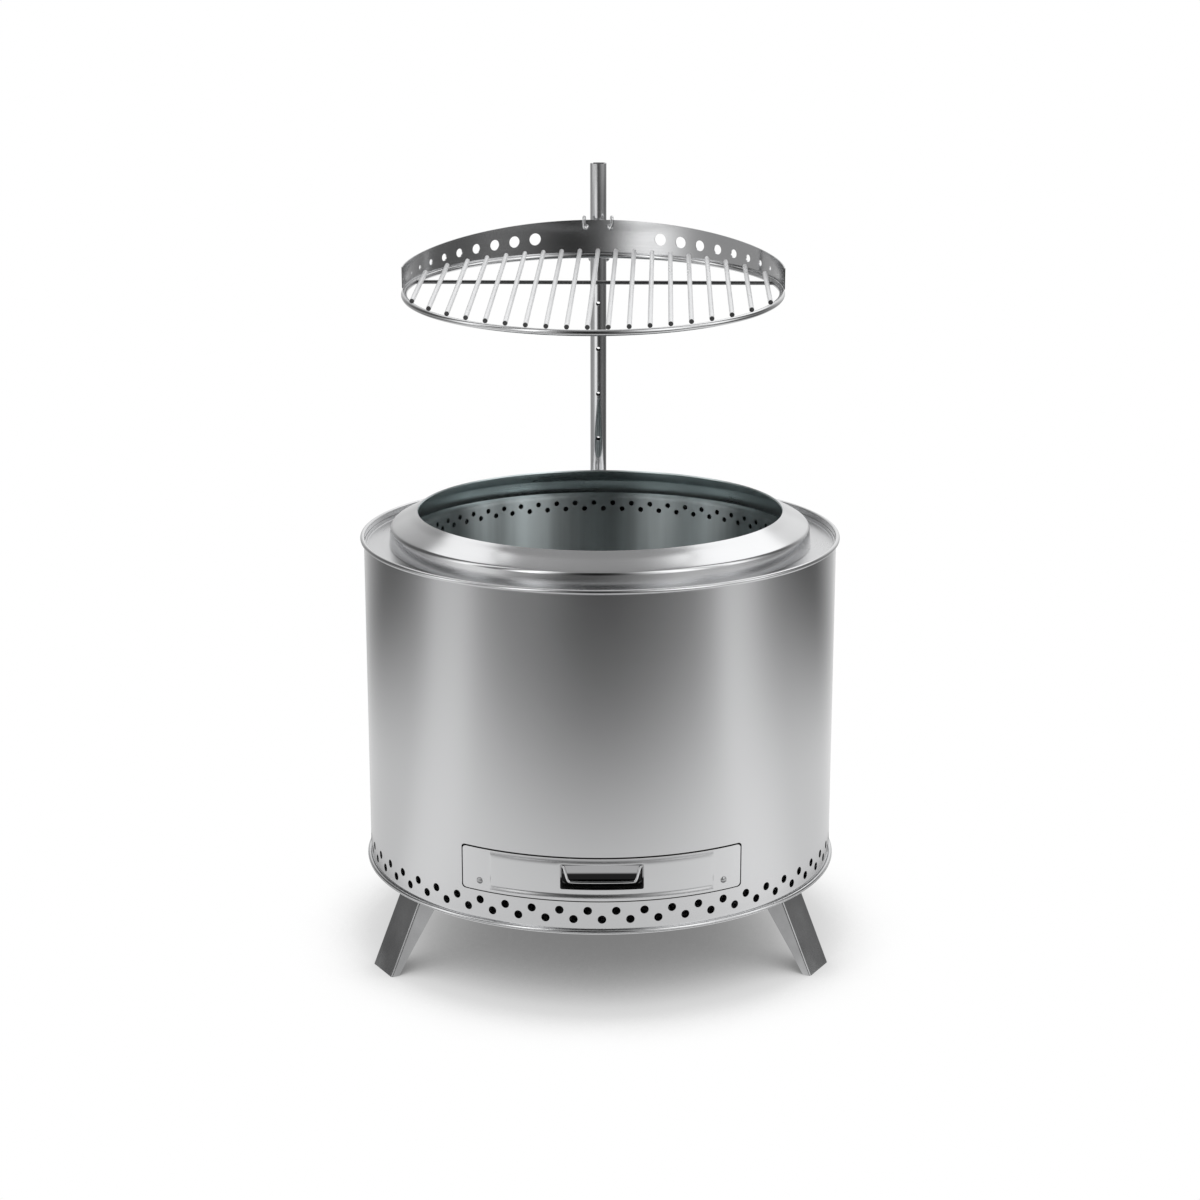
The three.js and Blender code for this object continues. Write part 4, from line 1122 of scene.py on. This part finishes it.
def band_shape():
    """The upright strip round the back half of the ring. Angles count from +Y towards -X."""
    steps = 96
    angles = [-pi / 2 + pi * i / steps for i in range(steps + 1)]
    u = [a * BAND_RADIUS for a in angles]
    outline = [(x, BAND_FOOT) for x in u]
    outline += [(x, band_height(a)) for x, a in zip(reversed(u), reversed(angles))]
    lines = [((x, 0), (x, BAND_BACK + BAND_FOOT)) for x in u[1:-1]]
    holes = []
    for i in range(BAND_HOLES):
        for side in (-1, 1):
            angle = side * (BAND_FIRST_ANGLE + i * BAND_HOLE_ANGLE)
            height = (BAND_FIRST_SHARE - i * BAND_FALL_SHARE) * BAND_BACK
            holes.append(circle((angle * BAND_RADIUS, height), BAND_HOLE_RADIUS * cos(angle)))
    for side in (-1, 1):
        angle = side * asin(HOOK_HOLE_SIDE / BAND_RADIUS)
        holes.append(circle((angle * BAND_RADIUS, HOOK_HOLE_HEIGHT), HOOK_RADIUS + 0.6 * MM))

    def surface(u, z):
        return on_cylinder(BAND_RADIUS, pi + u / BAND_RADIUS, z)

    return plate(outline, holes, lines, surface, BAND_SHEET)


def bar_shape(node_name, place):
    """A straight rod where the model's bar lies, cut square in front and domed behind."""
    inverse = place.inverted()
    xs, ys, zs = zip(*[inverse @ v.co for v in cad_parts[node_name].data.vertices])
    x, z = (min(xs) + max(xs)) / 2, (min(zs) + max(zs)) / 2
    route = [(x, min(ys) + BAR_RADIUS / 8, z), (x, max(ys) - BAR_RADIUS, z)]
    return sweep(route, BAR_RADIUS, ends=(False, True)).moved(place)


def hook_shape(side, place):
    """A wire bent over the band: up behind it, over its top and through its hole."""
    stem, hole_x = 18.5 * MM, HOOK_HOLE_SIDE
    from_post = on_post().inverted() @ place
    band_y = sqrt((BAND_RADIUS - BAND_SHEET) ** 2 - stem**2)
    top = from_post @ Vector((stem, band_y, BAND_BACK))
    hole = from_post @ Vector((hole_x, band_y, HOOK_HOLE_HEIGHT))
    rear = CARRIER_SHEET - CARRIER_FRONT + SEAT_GAP + HOOK_RADIUS
    front = top.y - SEAT_GAP - HOOK_RADIUS
    over, bend, corner = top.z + 3.4 * MM, 6 * MM, 0.9 * MM
    route = [
        (stem, rear, SLEEVE_LOW + 4 * MM), (stem, rear, over - bend), (stem, rear - corner, over - corner),
        (stem, (rear + front) / 2, over), (stem, front + corner, over - corner), (stem, front, over - bend),
        (stem, front, hole.z), (stem - 1.3 * MM, front, hole.z - 2.6 * MM),
        (hole_x, front + 1.35 * MM, hole.z - 1 * MM), (hole_x, hole.y + 0.75 * MM, hole.z),
        (hole_x, hole.y + 2.6 * MM, hole.z),
    ]
    wire = sweep(smooth_curve([(side * x, y, z) for x, y, z in route], 6), HOOK_RADIUS, ends=(True, True))
    return wire.moved(on_post())


def build_grate():
    place = grate_place()
    body = "cooking_grate"
    ring_points = [(x, y, 0) for x, y in circle((0, 0), RING_RADIUS, COLUMNS)]
    ring = sweep(ring_points, RING_WIRE, closed=True).moved(place)
    make("ring_wire", ring, ring_steel, body, "grate_ring")
    make("band_strip", band_shape().moved(place), band_steel, body, "grate_band")
    reach = sqrt((RING_RADIUS - RING_WIRE) ** 2 - BRACE_SETBACK**2) - 0.5 * MM
    height = RING_WIRE - BRACE_RADIUS
    brace = sweep([(-reach, BRACE_SETBACK, height), (reach, BRACE_SETBACK, height)], BRACE_RADIUS)
    make("brace_wire", brace.moved(place), brace_steel, body, "grate_brace")
    forward = place.to_3x3() @ Vector((0, -1, 0))
    for name in sorted(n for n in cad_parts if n.startswith("grate_bar_")):
        rod_name = name.replace("grate_bar", "rod")
        rod = make(rod_name, bar_shape(name, place), rod_steel, body, name)
        rod.visible_glossy = False
        rod.data.materials.append(cut_steel)
        for face in rod.data.polygons:
            face.material_index = int(face.normal.dot(forward) > 0.6)
    for name, side in SIDES.items():
        make(f"hook_wire_{name}", hook_shape(side, place), bright_steel, body, f"hook_{name}")


def dress_plain_nodes():
    """Nodes whose own shape is right keep it and get a finish."""
    for name in ("ash_pan", "drawer_guide_left", "drawer_guide_right"):
        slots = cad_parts[name].data.materials
        slots.clear()
        slots.append(inner_steel)


# Studio

LEVEL_SPAN = 4.0  # a ramp holds levels up to 1, so brighter ones are scaled to fit


def ramp(tree, factor, stops, interpolation="EASE"):
    """A grey colour ramp over a factor: stops are (place, level)."""
    made = node(tree, "ValToRGB", {0: factor})
    made.color_ramp.interpolation = interpolation
    elements = made.color_ramp.elements
    while len(elements) < len(stops):
        elements.new(0.5)
    for element, (place, level) in zip(elements, stops):
        element.position = place
        element.color = (level, level, level, 1)
    return made.outputs[0]


def ray_is(tree, kind, other=None):
    """1 where the ray is of a kind, or of another."""
    outputs = node(tree, "LightPath").outputs
    return maths(tree, "MAXIMUM", outputs[kind], outputs[other or kind])


def mixed(tree, factor, a, b):
    """Colour or value a where the factor is 0, and b where it is 1."""
    a, b = [(v, v, v, 1) if isinstance(v, float) else v for v in (a, b)]
    return node(tree, "Mix", {0: factor, 6: a, 7: b}, data_type="RGBA").outputs[2]


def around(tree, x, y, levels):
    """Levels round the drum at a direction or place (x, y): (degrees from -Y towards +X, level).
    The first, at -180, holds at 180 too."""
    angle = maths(tree, "ARCTAN2", x, maths(tree, "MULTIPLY", y, -1))
    turn = maths(tree, "ADD", maths(tree, "DIVIDE", angle, TAU), 0.5)
    stops = [((azimuth + 180) / 360, level / LEVEL_SPAN) for azimuth, level in [*levels, (180, levels[0][1])]]
    return scaled(tree, ramp(tree, turn, stops, "B_SPLINE"), LEVEL_SPAN)


# What bare steel mirrors: levels below, at and above the horizon, and soft boxes
LOW_STUDIO = [
    (-180, 0.9), (-168, 0.8), (-154, 0.56), (-140, 0.34), (-122, 0.09), (-100, 0.1), (-88, 0.22),
    (-79, 0.54), (-65, 0.62), (-54, 0.26), (-40, 0.12), (-20, 0.06), (0, 0.03), (20, 0.08), (40, 0.16),
    (50, 0.32), (58, 0.66), (68, 0.58), (80, 0.2), (94, 0.08), (120, 0.06), (136, 0.34), (151, 0.62),
    (164, 0.95),
]
NEAR_STUDIO = [
    (-180, 1.0), (-160, 0.85), (-130, 0.66), (-95, 0.66), (-82, 0.84), (-66, 0.84), (-54, 0.76),
    (-30, 0.72), (0, 0.68), (30, 0.74), (52, 0.84), (62, 0.9), (76, 0.88), (92, 0.72), (130, 0.72),
    (160, 0.95),
]
FAR_STUDIO = [
    (-180, 0.9), (-162, 0.52), (-140, 0.33), (-84, 0.33), (-68, 0.36), (-56, 0.62), (-44, 1.15),
    (-28, 1.25), (-14, 0.22), (0, 0.05), (14, 0.03), (28, 0.07), (42, 0.12), (62, 0.16), (84, 0.1),
    (112, 0.1), (126, 0.18), (150, 0.28), (165, 0.7),
]
MID_STUDIO = [
    (-180, 0.9), (-160, 0.4), (-140, 0.24), (-118, 0.14), (-100, 0.46), (-84, 0.95), (-60, 0.95),
    (-46, 0.12), (-20, 0.06), (0, 0.1), (20, 0.24), (40, 0.42), (60, 0.56), (80, 0.62), (100, 0.34),
    (120, 0.22), (140, 0.38), (160, 0.7),
]
HIGH_STUDIO = [
    (-180, 0.95), (-166, 0.72), (-152, 0.4), (-136, 0.09), (-108, 0.09), (-95, 0.2), (-80, 2.0),
    (-69, 0.03), (-53, 0.03), (-41, 2.6), (-29, 0.2), (-14, 0.0), (0, 0.0), (14, 0.02), (28, 0.6),
    (40, 1.4), (54, 1.6), (67, 0.02), (79, 2.0), (96, 0.3), (112, 0.08), (130, 0.14), (150, 0.85),
    (166, 0.9),
]
TOP_LEVEL = 0.29
FAR_RISE = (-0.10, -0.07)
HORIZON = (0.05, 0.15)
TOP_RISE = (0.84, 0.93)
SOFT_BOXES = [  # azimuth, elevation, inner and outer radius in degrees, level
    (-147, 47, 8, 13, 1.2),
    (148, 45, 13, 19, 1.3),
]
DIFFUSE_LEVEL = 0.9


def build_world():
    world = bpy.data.worlds.new("studio")
    bpy.context.scene.world = world
    world.use_nodes = True
    tree = world.node_tree
    way = node(tree, "TexCoord").outputs["Generated"]
    x, y, rise = parts_of(tree, way)
    far, mid, high = [around(tree, x, y, levels) for levels in (FAR_STUDIO, MID_STUDIO, HIGH_STUDIO)]
    studio = mixed(tree, between(tree, rise, *FAR_RISE), far, mid)
    studio = mixed(tree, between(tree, rise, *HORIZON), studio, high)
    studio = mixed(tree, between(tree, rise, *TOP_RISE), studio, TOP_LEVEL)
    for azimuth, elevation, inner, outer, level in SOFT_BOXES:
        tilt = radians(elevation)
        aim = on_cylinder(cos(tilt), radians(azimuth), sin(tilt))[0]
        facing = node(tree, "VectorMath", {0: way, 1: aim}, operation="DOT_PRODUCT").outputs["Value"]
        lit = between(tree, facing, cos(radians(outer)), cos(radians(inner)))
        studio = mixed(tree, lit, studio, level)
    seen = mixed(tree, ray_is(tree, "Is Camera Ray", "Is Transmission Ray"), DIFFUSE_LEVEL, 1.0)
    colour = mixed(tree, ray_is(tree, "Is Glossy Ray"), seen, studio)
    tree.links.new(colour, tree.nodes["Background"].inputs["Color"])


FLOOR_RADIUS = 2.6
FLOOR_DEPTH = 10 * MM
NEAR_REACH = (0.70, 1.6)
# Painted shade in the floor's reflection: a darker ring just outside the drum's foot
UNDER_SHADE_STOPS = [(0.0, 1.0), (0.34, 1.0), (0.37, 0.3), (0.44, 0.3), (0.54, 1.0), (1.0, 1.0)]
SIDE_SHARE = 0.8
SHADOW_REACH = 0.30
SHADOW_STOPS = [
    (0.14, 0.2), (0.22, 0.3), (0.31, 0.43), (0.46, 0.62), (0.64, 0.74), (0.71, 0.89), (0.75, 0.965),
    (0.80, 1.0),
]


def build_floor():
    floor = level_plate(circle((AXIS.x, AXIS.y), FLOOR_RADIUS, COLUMNS), [], -FLOOR_DEPTH, 0)
    mesh = bpy.data.meshes.new("floor")
    mesh.from_pydata(floor.vertices, [], floor.faces)
    placed("floor", mesh)

    material = bpy.data.materials.new("floor")
    material.use_nodes = True
    tree = material.node_tree
    tree.nodes.clear()
    shade = node(tree, "AmbientOcclusion", {"Distance": SHADOW_REACH}, samples=32)
    shown = ramp(tree, shade.outputs["AO"], SHADOW_STOPS, "CARDINAL")
    x, y, _ = parts_of(tree, own_place(tree))
    y = maths(tree, "SUBTRACT", y, AXIS.y)
    far = between(tree, distance(tree, maths(tree, "MULTIPLY", x, SIDE_SHARE), y), *NEAR_REACH)
    reflected = mixed(tree, far, around(tree, x, y, NEAR_STUDIO), around(tree, x, y, LOW_STUDIO))
    # Glossy rays see the floor's reflection darkened by the painted shade ring
    under_shade = ramp(tree, distance(tree, x, y), UNDER_SHADE_STOPS)
    shaded = node(tree, "VectorMath", {0: reflected, 1: under_shade}, operation="MULTIPLY").outputs[0]
    glow = node(tree, "Emission", {"Color": mixed(tree, ray_is(tree, "Is Camera Ray"), shaded, shown)})
    matt = node(tree, "BsdfDiffuse", {"Color": (0.8, 0.8, 0.8, 1)})
    shines = ray_is(tree, "Is Camera Ray", "Is Glossy Ray")
    pick = node(tree, "MixShader", {0: shines, 1: matt.outputs[0], 2: glow.outputs[0]})
    node(tree, "OutputMaterial", {"Surface": pick.outputs[0]})
    mesh.materials.append(material)


# Camera, as solved from the photograph
CAMERA_DISTANCE = 3.0588
CAMERA_HEIGHT = 1.2545
CAMERA_TURN = radians(-0.45)
CAMERA_PITCH = radians(14.853)
CAMERA_LENS = 73.75
CAMERA_SENSOR = 36


def build_camera():
    data = bpy.data.cameras.new("camera")
    data.lens = CAMERA_LENS
    data.sensor_width = CAMERA_SENSOR
    camera = placed("camera", data)
    camera.location = on_cylinder(CAMERA_DISTANCE, CAMERA_TURN, CAMERA_HEIGHT)[0] + AXIS
    camera.rotation_euler = (pi / 2 - CAMERA_PITCH, 0, CAMERA_TURN)
    bpy.context.scene.camera = camera


bpy.context.scene.view_settings.view_transform = "Standard"
build_camera()
build_world()
build_floor()
build_drum()
build_fire_side()
build_drawer()
build_legs()
build_post()
build_grate()
dress_plain_nodes()
